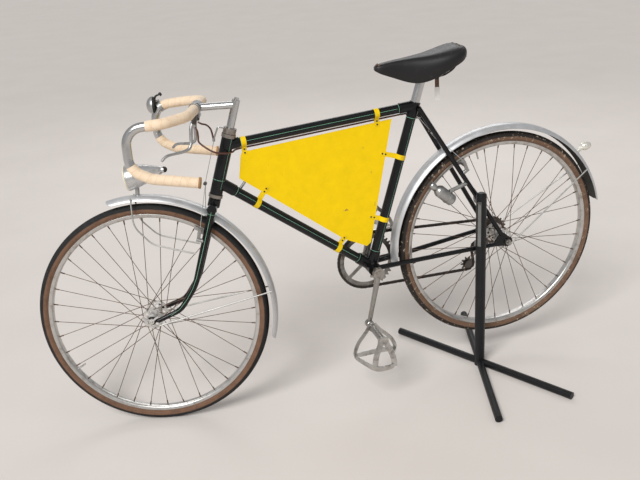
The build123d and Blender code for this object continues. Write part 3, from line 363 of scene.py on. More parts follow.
def lamp_glass_finish():
    n = Nodes("lamp_glass")
    haze = n.noise(n.coords(), 60)
    n.surface("Base Color", n.ramp(haze, [(0.3, (0.78, 0.74, 0.6)), (0.7, (0.88, 0.86, 0.76))]))
    n.surface("Roughness", n.span(haze, 0.04, 0.12))
    n.surface("Transmission Weight", 0.25)
    n.surface("Coat Weight", 1.0)
    return n.mat


leather = leather_finish()
front_tyre_mat = tyre_finish("tyre_front_finish", (0.016, 0.0155, 0.0155), (0.14, 0.076, 0.046),
                             (0.07, 0.05, 0.037), 0.64)
rear_tyre_mat = tyre_finish("tyre_rear_finish", (0.024, 0.019, 0.016), (0.14, 0.082, 0.052),
                            (0.42, 0.34, 0.25), 0.6)
tape = tape_finish()
rim_mat = rim_finish()
lens_mat = lamp_glass_finish()

finishes = {
    black: ("head_tube", "bottom_bracket", "seat_lug", "seat_tube", "top_tube", "down_tube", "chainstays",
            "seatstays", "rear_dropouts", "fork"),
    stand_black: ("stand_post", "stand_feet"),
    polished: ("stem", "handlebar", "seat_post"),
    hub_alloy: ("hub_front", "hub_rear", "front_axle"),
    lamp_alloy: ("headlamp",),
    alloy: ("brake_front", "brake_rear", "lamp_bracket", "dynamo", "saddle_clamp", "shift_lever"),
    steel: ("crank_left", "crank_right", "crank_axle", "rear_axle"),
    wire: ("guard_stays_rear", "guard_stays_front", "lamp_stay", "saddle_rails"),
    zinc: ("stand_hooks",),
    rusty: ("chain",),
    ring_steel: ("chainring",),
    dark_steel: ("freewheel", "derailleur"),
    race: ("headset_cups", "headset_locknut"),
    yellow: ("sign_plate",),
    strap_yellow: ("plate_straps",),
    cap_brown: ("bar_end_caps",),
    lamp_cream: ("tail_lamp",),
    rim_mat: ("rim_front", "rim_rear"),
}
for material, names in finishes.items():
    for name in names:
        for slot in nodes[name].material_slots:
            slot.material = material


# Meshes

LAP_PITCH = 20.0


def add_object(name, data):
    obj = bpy.data.objects.new(name, data)
    bpy.context.scene.collection.objects.link(obj)
    return obj


def build(name, verts, faces, material, uvs=None, angle=40.0, extra=(), face_mats=None):
    """A smooth mesh, sharp above an angle. extra and face_mats give some faces another material."""
    mesh = bpy.data.meshes.new(name)
    mesh.from_pydata([tuple(v) for v in verts], [], faces)
    for one in (material, *extra):
        mesh.materials.append(one)
    if uvs is not None:
        layer = mesh.uv_layers.new(name="uv")
        for loop in mesh.loops:
            layer.data[loop.index].uv = uvs[loop.vertex_index]
    if face_mats:
        for poly, index in zip(mesh.polygons, face_mats):
            poly.material_index = index
    if angle:
        mesh.shade_smooth()
        mesh.set_sharp_from_angle(angle=math.radians(angle))
    mesh.update()
    return add_object(name, mesh)


def grid_faces(rows, cols, loop_rows=False, loop_cols=False):
    faces = []
    for i in range(rows if loop_rows else rows - 1):
        for j in range(cols if loop_cols else cols - 1):
            a, b = i * cols + j, i * cols + (j + 1) % cols
            c, d = ((i + 1) % rows) * cols + (j + 1) % cols, ((i + 1) % rows) * cols + j
            faces.append((a, b, c, d))
    return faces


def end_faces(rows, cols):
    """The first and the last row of a grid as two closed faces."""
    return [tuple(range(cols)), tuple(reversed(range((rows - 1) * cols, rows * cols)))]


def lathe(name, centre, turned, sections, material, body, full=True, extra=(), inner_from=None, angle=40.0):
    """A ring, or part of one, about an axle. Each section is an angle and its (radius, y) points."""
    rows, points = len(sections), len(sections[0][1])
    turns = 2 * math.pi * sections[0][1][points // 2][0] / 1000.0
    verts, uvs = [], []
    for i, (degrees, profile) in enumerate(sections):
        a = math.radians(degrees)
        for j, (r, y) in enumerate(profile):
            verts.append(place((centre.x + r * math.cos(a), y, centre.z + r * math.sin(a)), turned))
            uvs.append((turns * i / rows, j / (points - 1)))
    faces = grid_faces(rows, points, full, True)
    if not full:
        faces += end_faces(rows, points)
    mats = None
    if inner_from is not None:
        mats = [1 if (k % points) >= inner_from else 0 for k in range(len(faces))]
    obj = build(name, verts, faces, material, uvs, angle, extra, mats)
    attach(obj, body)
    return obj


def round_about(profile, steps=240):
    """The same section all the way round."""
    return [(360.0 * i / steps, profile) for i in range(steps)]


def smooth_path(points, step=4.0, loop=False):
    """Points along a rounded line through a coarse list, in mm."""
    pts = [Vector(p) for p in points]
    out = []
    if loop:
        ext = [pts[-1], *pts, pts[0], pts[1]]
    else:
        ext = [pts[0] * 2 - pts[1], *pts, pts[-1] * 2 - pts[-2]]
    for i in range(1, len(ext) - 2):
        p0, p1, p2, p3 = ext[i - 1:i + 3]
        n = max(2, int((p2 - p1).length / step))
        for k in range(n):
            t = k / n
            out.append(0.5 * ((2 * p1) + (p2 - p0) * t + (2 * p0 - 5 * p1 + 4 * p2 - p3) * t * t
                              + (3 * p1 - p0 - 3 * p2 + p3) * t ** 3))
    if not loop:
        out.append(pts[-1])
    return out


def rounded(points, radii, step=3.0):
    """Points along straight runs joined by tangent arcs, in mm."""
    pts = [Vector(p) for p in points]
    corners = [pts[0]]
    for i in range(1, len(pts) - 1):
        a, b = (pts[i - 1] - pts[i]).normalized(), (pts[i + 1] - pts[i]).normalized()
        r, half = radii[i - 1], a.angle(b) / 2
        reach = r / math.tan(half)
        centre = pts[i] + (a + b).normalized() * (r / math.sin(half))
        u, v = pts[i] + a * reach - centre, pts[i] + b * reach - centre
        n = max(3, int((math.pi - 2 * half) * r / step))
        total = u.angle(v)
        for k in range(n + 1):
            t = k / n
            swing = (u * math.sin((1 - t) * total) + v * math.sin(t * total)) / math.sin(total)
            corners.append(centre + swing)
    corners.append(pts[-1])
    out = [corners[0]]
    for p in corners[1:]:
        last = out[-1]
        n = max(1, int((p - last).length / step))
        out += [last.lerp(p, (k + 1) / n) for k in range(n)]
    return out


def tube(name, path, radius, material, body=None, turned=False, sides=12, caps=True, swell=None):
    """A round bar that follows a path. radius may depend on the distance along, and swell adds to it."""
    rows, uvs, s = [], [], 0.0
    up = None
    for i, p in enumerate(path):
        a = path[max(0, i - 1)]
        b = path[min(len(path) - 1, i + 1)]
        t = (b - a).normalized()
        if up is None:
            up = t.orthogonal().normalized()
        up = (up - t * up.dot(t)).normalized()
        side = t.cross(up)
        s += (p - a).length if i else 0.0
        r = radius(s) if callable(radius) else radius
        for k in range(sides):
            angle = 2 * math.pi * k / sides
            rr = r + (swell(s, k / sides) if swell else 0.0)
            rows.append(place(p + (up * math.cos(angle) + side * math.sin(angle)) * rr, turned))
            uvs.append((s / LAP_PITCH + k / sides, k / sides))
    faces = grid_faces(len(path), sides, False, True)
    if caps:
        faces.append(tuple(reversed(range(sides))))
        faces.append(tuple(range((len(path) - 1) * sides, len(path) * sides)))
    obj = build(name, rows, faces, material, uvs)
    if body:
        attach(obj, body)
    return obj


def join(name, objs, body):
    """Several meshes of one look as one piece."""
    for o in bpy.context.selected_objects:
        o.select_set(False)
    with bpy.context.temp_override(active_object=objs[0], selected_editable_objects=objs,
                                   selected_objects=objs):
        bpy.ops.object.join()
    objs[0].name = name
    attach(objs[0], body)
    return objs[0]


def dome(p, direction, r, h, material, turned=False, rings=5, sides=14):
    """A low round head."""
    p, d = Vector(p), Vector(direction).normalized()
    u = d.orthogonal().normalized()
    v = d.cross(u)
    verts = []
    for i in range(rings):
        a = math.pi / 2 * i / rings
        for k in range(sides):
            b = 2 * math.pi * k / sides
            q = p + (u * math.cos(b) + v * math.sin(b)) * r * math.cos(a) + d * h * math.sin(a)
            verts.append(place(q, turned))
    verts.append(place(p + d * h, turned))
    faces = grid_faces(rings, sides, False, True)
    top = (rings - 1) * sides
    faces += [(top + k, top + (k + 1) % sides, rings * sides) for k in range(sides)]
    faces.append(tuple(reversed(range(sides))))
    return build("head", verts, faces, material, angle=60)


def spin(centre, axis, profile, material, turned=False, sides=40):
    """A turned piece about any axis, from (along, radius) points that start and end on it."""
    c, d = Vector(centre), Vector(axis).normalized()
    u = d.orthogonal().normalized()
    v = d.cross(u)
    verts = [place(c + d * profile[0][0], turned)]
    for along, r in profile[1:-1]:
        for k in range(sides):
            a = 2 * math.pi * k / sides
            verts.append(place(c + d * along + (u * math.cos(a) + v * math.sin(a)) * r, turned))
    verts.append(place(c + d * profile[-1][0], turned))
    rings = len(profile) - 2
    faces = [tuple(1 + i for i in face) for face in grid_faces(rings, sides, False, True)]
    last = len(verts) - 1
    for k in range(sides):
        faces.append((0, 1 + (k + 1) % sides, 1 + k))
        faces.append((last, last - sides + k, last - sides + (k + 1) % sides))
    return build("turned", verts, faces, material, angle=35)


def strip(path, across, wide, thick, material, loop=False):
    """A flat bar along a path, with its width along across."""
    verts, n = [], len(path)
    for i, p in enumerate(path):
        a = path[i - 1] if i or loop else path[0]
        b = path[(i + 1) % n] if i < n - 1 or loop else path[-1]
        t = (b - a).normalized()
        w = Vector(across)
        w = (w - t * w.dot(t)).normalized()
        out = t.cross(w)
        for dw, dt in ((-1, -1), (1, -1), (1, 1), (-1, 1)):
            verts.append(place(p + w * (wide / 2 * dw) + out * (thick / 2 * dt)))
    faces = grid_faces(n, 4, loop, True)
    if not loop:
        faces += [(3, 2, 1, 0), (4 * n - 4, 4 * n - 3, 4 * n - 2, 4 * n - 1)]
    return build("strip", verts, faces, material, angle=30)


# Wheels: profiles are (radius, y) points

def mirrored(half, middle=()):
    return [(r, -y) for r, y in half] + list(middle) + [(r, y) for r, y in reversed(half)]


TYRE = mirrored(((297.0, 9.6), (300.0, 12.4), (304.0, 14.8), (308.5, 16.2), (313.0, 16.5), (317.5, 15.4),
                 (320.5, 13.6), (323.0, 11.2), (325.0, 8.2), (326.4, 4.6)), [(327.0, 0.0)])
RIM = mirrored(((299.5, 11.2), (299.6, 12.4), (298.4, 12.9), (297.2, 12.4), (292.0, 11.6), (289.6, 10.0),
                (288.4, 6.6), (287.6, 3.0))) + [(296.0, 9.0), (296.0, -9.0)]
SPOKES_A_SIDE = 18
SPOKE_LEAN = math.radians(60.0)
SPOKE_R, NIPPLE_R, NIPPLE_LENGTH = 0.95, 1.9, 11.5
FLANGE_HOLE_R, SPOKE_END_R = 27.5, 287.8
HEAD_OUT, RIM_STAGGER = 2.6, 3.0


def spoke(centre, turned, side, flange_y, index):
    """One spoke with its nipple. Odd ones lean one way, outside the flange, and even ones back, inside it."""
    lean = 1 if index % 2 else -1
    spacing = 360.0 / SPOKES_A_SIDE
    hub_at = math.radians(spacing * index + (0 if side > 0 else spacing / 2))
    rim_at = hub_at + lean * SPOKE_LEAN
    p = centre + Vector((FLANGE_HOLE_R * math.cos(hub_at), flange_y + side * lean * HEAD_OUT,
                         FLANGE_HOLE_R * math.sin(hub_at)))
    q = centre + Vector((SPOKE_END_R * math.cos(rim_at), side * RIM_STAGGER, SPOKE_END_R * math.sin(rim_at)))
    run, long = (q - p).normalized(), (q - p).length
    path = [p, p + run * (long - NIPPLE_LENGTH - 0.5), q - run * (NIPPLE_LENGTH - 0.5), q]
    return tube("s", path, lambda s: SPOKE_R if s < long - NIPPLE_LENGTH else NIPPLE_R, spoke_steel,
                turned=turned, sides=8)


def add_wheel(label, centre, turned, body, material, flanges):
    tyre = lathe("tyre_" + label + "_look", centre, turned, round_about(TYRE), material, body, angle=60)
    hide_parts("tyre_" + label)
    pieces = [spoke(centre, turned, side, flange_y, i)
              for side, flange_y in zip((1, -1), flanges) for i in range(SPOKES_A_SIDE)]
    spokes = join("spokes_" + label + "_look", pieces, body)
    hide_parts("spokes_" + label)
    rim = lathe("rim_" + label + "_look", centre, turned, round_about(RIM), rim_mat, body, angle=50)


add_wheel("front", FRONT, True, "front_wheel", front_tyre_mat, (33.0, -33.0))
add_wheel("rear", REAR, False, "rear_wheel", rear_tyre_mat, (34.0, -22.0))

# Mudguards: a rolled section with a bead along each edge

GUARD_HALF, GUARD_EDGE_R, GUARD_RISE, GUARD_THICK = 24.0, 341.0, 11.0, 1.2
GUARD_ROUNDNESS = 2.9
GUARD_CORNER = 17.0
# columns of the bead: below the edge, out from it
GUARD_BEAD = ((1.6, 0.6), (2.4, -0.5))
INNER_SHARE = 0.975
ACROSS_STEPS = 10
GUARD_INNER_FROM = 2 * ACROSS_STEPS + 2


def guard_profile(share=1.0):
    """The section, cut to a share of its width."""
    outer, inner = [], []
    for k in range(-ACROSS_STEPS, ACROSS_STEPS + 1):
        u = share * k / ACROSS_STEPS
        r = GUARD_EDGE_R + GUARD_RISE * (1 - abs(u) ** GUARD_ROUNDNESS)
        outer.append((r, GUARD_HALF * u))
        inner.append((r - GUARD_THICK, GUARD_HALF * u * INNER_SHARE))
    edge, half = outer[-1]
    bead = [(edge - below, half + out) for below, out in GUARD_BEAD]
    other_bead = [(r, -y) for r, y in reversed(bead)]
    return outer + bead + list(reversed(inner)) + other_bead


def guard_sections(start, end, steps=120):
    """Sections along a mudguard, with the corners of both ends rounded off."""
    crown = GUARD_EDGE_R + GUARD_RISE
    reach = math.degrees(GUARD_CORNER / crown)
    near = [reach * (1 - math.cos(math.pi / 12 * k)) for k in range(6)]
    middle = [start + reach + (end - start - 2 * reach) * k / steps for k in range(steps + 1)]
    sections = []
    for a in [start + d for d in near] + middle + [end - d for d in reversed(near)]:
        gap = GUARD_CORNER - min(GUARD_CORNER, math.radians(min(a - start, end - a)) * crown)
        cut = GUARD_CORNER - math.sqrt(GUARD_CORNER ** 2 - gap ** 2)
        sections.append((a, guard_profile(1 - cut / GUARD_HALF)))
    return sections


# The inner faces take the near-black finish of painted shade.
for label, centre, turned, body, start, end in (("front", FRONT, True, "steering", 75, 196),
                                                ("rear", REAR, False, "frame", -5, 170)):
    guard = lathe("mudguard_" + label + "_look", centre, turned, guard_sections(start, end), guard_alloy,
                  body, False, (guard_inside_shade,), GUARD_INNER_FROM)
    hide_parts("mudguard_" + label)

# Saddle: a stretched leather top with deep skirts, on a table of sections
# columns: x, half width, top z, bottom edge z
SADDLE = (
    (384, 8, 960, 950), (380, 13, 964, 944), (368, 17, 967, 938), (347, 20, 970, 930), (323, 23, 973, 920),
    (298, 29, 975, 910), (276, 36, 977, 905), (251, 45, 979, 906), (225, 54, 982, 914), (197, 62, 987, 929),
    (171, 65, 993, 942), (150, 63, 997, 951), (136, 56, 998, 958), (127, 43, 994, 964),
)
# columns: share of the half width, share of the way down to the bottom edge
SADDLE_ACROSS = ((0.0, 0.03), (0.3, 0.01), (0.56, 0.03), (0.76, 0.1), (0.91, 0.22), (0.99, 0.4), (1.0, 0.6),
                 (0.96, 0.8), (0.88, 1.0))
# columns: x, y, z, the way the head faces
SADDLE_RIVETS = (
    (378, 0, 964.8, (0.5, 0, 1)), (374, 8, 964.8, (0.4, 0.3, 1)), (374, -8, 964.8, (0.4, -0.3, 1)),
    (138, 0, 996.6, (-0.3, 0, 1)), (140, 22, 996.2, (-0.3, 0.1, 1)), (140, -22, 996.2, (-0.3, -0.1, 1)),
    (148, 43, 991.6, (-0.2, 0.4, 1)), (148, -43, 991.6, (-0.2, -0.4, 1)),
)
SADDLE_STRAP = ((138, 18, 957), (154, 14, 932), (176, 8, 917), (192, 2, 912), (198, 0, 905))
TAG_THICK = 0.9


def add_saddle_top():
    verts = []
    for x, half_width, top, low in SADDLE:
        left = [(x, half_width * share, top - down * (top - low)) for share, down in SADDLE_ACROSS]
        verts += [place((a, -b, c)) for a, b, c in reversed(left[1:])] + [place(p) for p in left]
    cols = 2 * len(SADDLE_ACROSS) - 1
    faces = grid_faces(len(SADDLE), cols) + end_faces(len(SADDLE), cols)
    saddle = build("saddle_look", verts, faces, leather, angle=80)
    thick = saddle.modifiers.new("thickness", "SOLIDIFY")
    thick.thickness = 0.0045
    thick.offset = -1.0
    sub = saddle.modifiers.new("subdivide", "SUBSURF")
    sub.levels = sub.render_levels = 2
    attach(saddle, "frame")
    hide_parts("saddle_top")


def add_card(name, corners, material):
    """A thin flat piece from its four corners."""
    verts = [place(p) for p in corners] + [place((x, y + TAG_THICK, z)) for x, y, z in corners]
    faces = [(0, 1, 2, 3), (7, 6, 5, 4), (0, 4, 5, 1), (1, 5, 6, 2), (2, 6, 7, 3), (3, 7, 4, 0)]
    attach(build(name, verts, faces, material, angle=None), "frame")


add_saddle_top()
rivet_heads = [dome((x, y, z), facing, 4.2, 1.8, copper) for x, y, z, facing in SADDLE_RIVETS]
join("saddle_rivets", rivet_heads, "frame")
tube("saddle_strap", smooth_path(SADDLE_STRAP), 2.6, dark_rubber, "frame", sides=8)
add_card("tag_strap", ((191, -4, 914), (204, -3, 914), (205, 0, 879), (192, 0, 879)), copper)
add_card("blank_tag", ((190, 0, 882), (206, 0, 882), (207, 2, 846), (191, 1, 843)), white_tag)

# Bar tape, wound with a lapped edge at every turn
# points: ahead of the clamp, out from the middle, above the clamp
BAR_TOP = ((0, 40, 0), (0, 150, 0), (54.1, 203, -5.6), (150.1, 203, -12.6), (150.1, 203, -66))
BAR_DROP = ((150.1, 203, -83), (150.1, 203, -114.6), (99.1, 203, -140.6), (-16.9, 203, -158.6))
TOP_BENDS, DROP_BENDS = (60, 40, 50), (50, 60)
BAR_STEP = 1.6
BARE_DROP_STEPS = 14
TAPE_BOTTOM = 30
TAPE_R, LAP_RISE = 13.6, 0.16


def wound(s, around):
    return LAP_RISE * ((s / LAP_PITCH + around) % 1.0)


def bar_run(side, points, bends):
    return rounded([by_clamp(x, side * y, z) for x, y, z in points], bends, BAR_STEP)


def add_tape(side, label, reach):
    """Tape up to a reach ahead of the clamp, and along the drop. The forward bend between them is bare."""
    top = [q for q in bar_run(side, BAR_TOP, TOP_BENDS)
           if q.x < CLAMP.x + reach and q.z > CLAMP.z - TAPE_BOTTOM]
    drop = bar_run(side, BAR_DROP, DROP_BENDS)[BARE_DROP_STEPS:]
    runs = [tube("t", run, TAPE_R, tape, turned=True, sides=28, swell=wound) for run in (top, drop)]
    whole = join("tape_" + label, runs, "steering")
    if side == 1:
        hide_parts("bar_tape")


add_tape(1, "left", 98)
add_tape(-1, "right", 124)

# Green lines on the tubes, a little proud of the paint

LINE_LIFT, BAND_LIFT = 0.25, 0.3
LINE_WIDTH, BAND_WIDTH = 0.8, 1.0
LINE_STEPS, BAND_STEPS = 24, 32


def line_on(p, q, r, around, width):
    """A painted line along one side of a straight tube, at an angle around it."""
    p, q = Vector(p), Vector(q)
    t = (q - p).normalized()
    side = Vector((0, 1, 0))
    up = t.cross(side).normalized()
    half = width / (2 * r)
    verts = []
    for k in range(LINE_STEPS + 1):
        c = p.lerp(q, k / LINE_STEPS)
        for da in (-half, half):
            a = math.radians(around) + da
            verts.append(place(c + (side * math.cos(a) + up * math.sin(a)) * (r + LINE_LIFT)))
    return build("line", verts, grid_faces(LINE_STEPS + 1, 2), green)


def band_on(p, t, r, turned=False):
    """A thin painted ring round a tube."""
    p, t = Vector(p), Vector(t).normalized()
    u = t.orthogonal().normalized()
    v = t.cross(u)
    verts = []
    for k in range(BAND_STEPS):
        a = 2 * math.pi * k / BAND_STEPS
        for d in (-BAND_WIDTH / 2, BAND_WIDTH / 2):
            verts.append(place(p + t * d + (u * math.cos(a) + v * math.sin(a)) * (r + BAND_LIFT), turned))
    return build("band", verts, grid_faces(BAND_STEPS, 2, True), green)


def add_frame_lines():
    along_top = (TOP_HEAD - TOP_SEAT).normalized()
    along_down = (DOWN_HEAD - BRACKET).normalized()
    lines = []
    for around, around_head in ((14, 20), (194, 160)):
        lines += [
            line_on(TOP_SEAT + along_top * 56, TOP_HEAD - along_top * 44, TOP_R, around, LINE_WIDTH),
            line_on(BRACKET + along_down * 60, DOWN_HEAD - along_down * 62, DOWN_R, around, LINE_WIDTH),
            line_on(on_seat(56), on_seat(452), SEAT_R, around, LINE_WIDTH),
            line_on(on_axis(405), on_axis(552), HEAD_R, around_head, 0.9),
        ]
    for p, along, r in (
            (TOP_SEAT + along_top * 50, along_top, TOP_R), (TOP_HEAD - along_top * 38, along_top, TOP_R),
            (BRACKET + along_down * 54, along_down, DOWN_R),
            (DOWN_HEAD - along_down * 56, along_down, DOWN_R),
            (on_seat(50), SEAT_DIR, SEAT_R), (on_seat(457), SEAT_DIR, SEAT_R), (on_axis(430), AXIS, HEAD_R)):
        lines.append(band_on(p, along, r))
    join("green_lines", lines, "frame")


# columns: along the steering axis, ahead of it, out from the middle, radius there
BLADE_LINE = ((345, 0, 31.2, 11.3), (240, 0, 34.5, 11.3), (152, 1.2, 37.6, 10.9), (118, 5.5, 39.6, 10.2),
              (84, 15, 43, 9.2), (54, 28, 46.2, 8.3), (30, 48, 48.8, 7.5))
BLADE_BAND_S, BLADE_OUT, BLADE_R = 338, 31.2, 11.2


def add_fork_lines():
    lines = []
    for side in (1, -1):
        edge = []
        for s, off, y, r in BLADE_LINE:
            p = on_axis(s, off, side * (y + r))
            edge += [place(p + AHEAD * 0.5, True), place(p - AHEAD * 0.5, True)]
        lines.append(build("line", edge, grid_faces(len(BLADE_LINE), 2), green))
        lines.append(band_on(on_axis(BLADE_BAND_S, 0, side * BLADE_OUT), AXIS, BLADE_R, True))
    join("green_fork_lines", lines, "steering")


add_frame_lines()
add_fork_lines()

# Headlamp: glass, rim and the knob on its tail

LAMP = Vector((FRONT.x + 24.4, 0, 728.0))
LAMP_BACK = Vector((-0.988, 0, 0.155)).normalized()
LAMP_RIM_R, LAMP_LENGTH = 33.0, 104


def add_headlamp_parts():
    lens = dome(LAMP + LAMP_BACK * 1.0, -LAMP_BACK, 31.5, 9.0, lens_mat, True, 8, 48)
    lens.name = "headlamp_glass"
    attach(lens, "steering")
    u = Vector((0, 1, 0))
    v = LAMP_BACK.cross(u)
    circle = [2 * math.pi * k / 48 for k in range(49)]
    rim = [LAMP + (u * math.cos(a) + v * math.sin(a)) * LAMP_RIM_R for a in circle]
    tube("headlamp_rim", rim, 3.2, cream, "steering", True, 12, False)
    knob = dome(LAMP + LAMP_BACK * LAMP_LENGTH, LAMP_BACK, 8.5, 9, dark_rubber, True)
    knob.name = "headlamp_knob"
    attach(knob, "steering")


add_headlamp_parts()

# Brake levers: a band round the bar, a hinge block and a blade that tapers to a curled tip
# columns: ahead of the clamp, out from the middle, above the clamp
LEVER_BLADE = ((7, 36, -32.6), (12.5, 40, -48), (14.5, 42.6, -68), (16, 45, -86), (21, 49.5, -98),
               (33, 57, -104), (50, 67, -106), (68, 78, -107), (80, 85.4, -110.5), (89.1, 91.8, -118.6))


def blade_r(s):
    return 5.3 - 1.5 * min(1.0, s / 120.0)


def by_bars(points, radius, material, sides=12):
    """A round bar of the steered group, through points measured from the stem's bar clamp."""
    return tube("b", [Vector(by_clamp(*p)) for p in points], radius, material, turned=True, sides=sides)


def add_levers():
    parts = []
    for side in (1, -1):
        blade = smooth_path([by_clamp(x, side * y, z) for x, y, z in LEVER_BLADE], 3.0)
        block = ((0, side * 31, -13), (3, side * 33, -24), (5, side * 34, -38.6))
        parts += [
            by_bars(((0, side * 24, 0), (0, side * 38, 0)), 15.6, alloy, 32),
            by_bars(block, lambda s: 8.0 - 0.06 * s, dark_steel, 16),
            by_bars(((6, side * 26, -33), (6, side * 44, -33)), 3.6, dark_steel),
            tube("b", blade, blade_r, bell_plate, turned=True, sides=14),
            dome(blade[-1], blade[-1] - blade[-2], 3.8, 3.0, bell_plate, True),
        ]
    pair = join("brake_levers_look", parts, "steering")
    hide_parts("brake_levers")


add_levers()

# Pedals: a barrel on the crank's eye and a hung cage of bent plate
# columns: ahead of the spindle, out from the crank's eye, round the foot ring
FOOT_RING = ((57, 24), (44, 70), (30, 104), (16, 116), (-2, 118), (-20, 116), (-36, 103), (-54, 66),
             (-68, 26), (-56, 17), (-6, 14), (46, 17))
FOOT_RING_Z = -86
# columns: along the spindle, radius
BARREL = ((-14, 0), (-14, 6.3), (1.5, 6.3), (2, 12), (6, 12), (7.5, 10.4), (56, 9.8), (101, 10.4),
          (102.5, 12), (109, 11.6), (112, 8), (113, 0))
COLLAR = ((0, 0), (0, 13), (8, 13), (8, 0))
# columns: out from the crank's eye, reach ahead, reach behind, width
LEG_PAIRS = ((20, 57, -68, 11), (110, 27, -31, 17))
PEDAL_OUT = 76.0
PLATE = 2.4


def add_pedal(side, label, crank_angle):
    a = math.radians(crank_angle)
    eye = BRACKET + Vector((CRANK_LENGTH * math.cos(a), side * PEDAL_OUT, CRANK_LENGTH * math.sin(a)))
    outward = (0, side, 0)
    ring = smooth_path([eye + Vector((x, side * y, FOOT_RING_Z)) for x, y in FOOT_RING], 4.0, True)
    bits = [spin(eye, outward, BARREL, steel), strip(ring, (0, 0.12, 1), 17, PLATE, pedal_plate, True)]
    for out, ahead, behind, wide in LEG_PAIRS:
        for reach in (ahead, behind):
            leg = [eye + Vector((x, side * (out + dy), z)) for x, dy, z in (
                (math.copysign(7, reach), 0, 9), (reach * 0.34, 0, -12), (reach * 0.8, 1, -44),
                (reach, 2, -72), (reach * 0.97, 2, -88))]
            bits.append(strip(smooth_path(leg), (1, 0, 0), wide, PLATE, pedal_plate))
        bits.append(spin(eye + Vector((0, side * (out - 4), 0)), outward, COLLAR, pedal_plate))
    pedal = join("pedal_" + label + "_look", bits, "pedal_" + label)
    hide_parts("pedal_" + label)


add_pedal(1, "left", -76.0)
add_pedal(-1, "right", 104.0)

# Bell: a dull dome on a dark base, with its thumb lever
# columns of the turned profiles: along the axis, radius
BELL = Vector(by_clamp(150.1, -203, -11.6))
BELL_DEPTH, BELL_R = 20.8, 26.0
BELL_BASE = ((0, 0), (0, 20.5), (1.2, 23.6), (4.4, 23.6), (4.8, 22), (4.8, 0))
BELL_THUMB = ((0, 0), (0, 5.0), (1.6, 5.8), (5.5, 5.2), (7.4, 2.8), (7.6, 0))
BELL_LEVER = ((146, -203, 6), (141, -203, 14), (133, -204, 17), (127, -205, 17.6))


def add_bell():
    crown = [(BELL_DEPTH * math.sin(math.radians(a)), BELL_R * math.cos(math.radians(a)))
             for a in range(10, 90, 10)]
    parts = [
        spin(BELL, (1, 0, 0), [(0.0, 0.0), (0.0, BELL_R), *crown, (BELL_DEPTH, 0.0)], bell_plate, True),
        spin(BELL + Vector((-5.2, 0, 0)), (1, 0, 0), BELL_BASE, dark_rubber, True),
        tube("b", smooth_path([by_clamp(*p) for p in BELL_LEVER]), lambda s: 3.4 - 0.05 * s, dark_rubber,
             turned=True),
        spin(by_clamp(131, -206, 16.6), (-0.85, -0.15, 0.5), BELL_THUMB, dark_rubber, True, 20),
        by_bars(((133, -203, 0), (146, -203, -3)), 4.0, dark_steel),
        by_bars(((125.5, -203, -13.2), (134.5, -203, -19.4)), 15.4, bell_plate, 32),
    ]
    bell = join("bell_look", parts, "steering")
    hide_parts("bell")


add_bell()

# Rivets where the straps hold the plate, and the gear adjuster
# columns: x and z on the tube's middle, degrees towards the plate, reach to the strap's end
STRAPS = ((769, under_top(769, 0, 0)[2], -94.1, 38), (385, under_top(385, 0, 0)[2], -94.1, 38),
          (seat_tube_x(693), 693, 17.4, 64), (seat_tube_x(511), 511, 17.4, 48),
          (746, down_tube_z(746), 127.5, 54), (518, down_tube_z(518), 127.5, 40))
RIVETS_IN = (6, 16)
PLATE_FACE = 1.8
ADJUSTER = ((12, -68, 372), (12, -80, 371), (12, -86, 371))


def strap_rivets():
    for x, z, towards, reach in STRAPS:
        a = math.radians(towards)
        for back in RIVETS_IN:
            d = reach - back
            for side in (1, -1):
                at = (x + d * math.cos(a), side * PLATE_FACE, z + d * math.sin(a))
                yield dome(at, (0, side, 0), 2.6, 1.6, rusty)


join("strap_rivets", list(strap_rivets()), "frame")
tube("gear_adjuster", [Vector(p) for p in ADJUSTER], lambda s: 9.0 - 0.42 * s, brass, "frame", sides=20)

# Brake cables

HANGER_R, STOP_R, YOKE_R, YOKE_HALF = 2.4, 4.0, 5.0, 4.5
FRONT_STOP, FRONT_YOKE = on_axis(528.7, 35.65), on_axis(409.2, 34.8)
REAR_STOP, REAR_YOKE = Vector(by_seat(-17.3, -3.0, -41.0)), Vector(by_seat(-48.3, 0.0, -80.0))
HANGER_END = on_axis(533.2, 36.8)
REAR_CABLE_END = by_seat(-16.8, -3.6, -39)
# where the straddle wires meet the brake arms, with y for the left arm
FRONT_ARM, REAR_ARM = (902.2, 61, 589.5), (145.6, 65.4, 672.4)
CABLE_DROP = 20
HEAD_SIDE = on_axis(497.0)


def yoke_and_straddle(stop, yoke, arm, turned):
    """The wire from the stop to its yoke, the yoke, and the wires from it to both brake arms."""
    out = Vector((0, YOKE_HALF, 0))
    parts = [tube("c", [stop, yoke], WIRE_R, wire, turned=turned, sides=8),
             tube("c", [yoke - out, yoke + out], YOKE_R, dark_steel, turned=turned, sides=20)]
    for side in (1, -1):
        ends = [yoke + Vector((0, side * 4, -4)), Vector((arm[0], side * arm[1], arm[2]))]
        parts.append(tube("c", ends, WIRE_R, wire, turned=turned, sides=8))
    return parts


def add_front_cable():
    route = smooth_path([by_clamp(3.1, -33, -43.6), by_clamp(-7, -29, -49), by_clamp(-21, -17, -51),
                         by_clamp(-33, -5, -62), HANGER_END])
    hanger = rounded([on_axis(570, 17), on_axis(570, 33), HANGER_END], [5])
    parts = [
        tube("c", route, CABLE_R, housing, turned=True),
        tube("c", hanger, HANGER_R, polished, turned=True, sides=10),
        tube("c", [on_axis(536, 36.9), FRONT_STOP], STOP_R, polished, turned=True, sides=16),
        *yoke_and_straddle(FRONT_STOP, FRONT_YOKE, FRONT_ARM, True),
    ]
    cable = join("brake_cable_front", parts, "steering")
    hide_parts("cable_front")


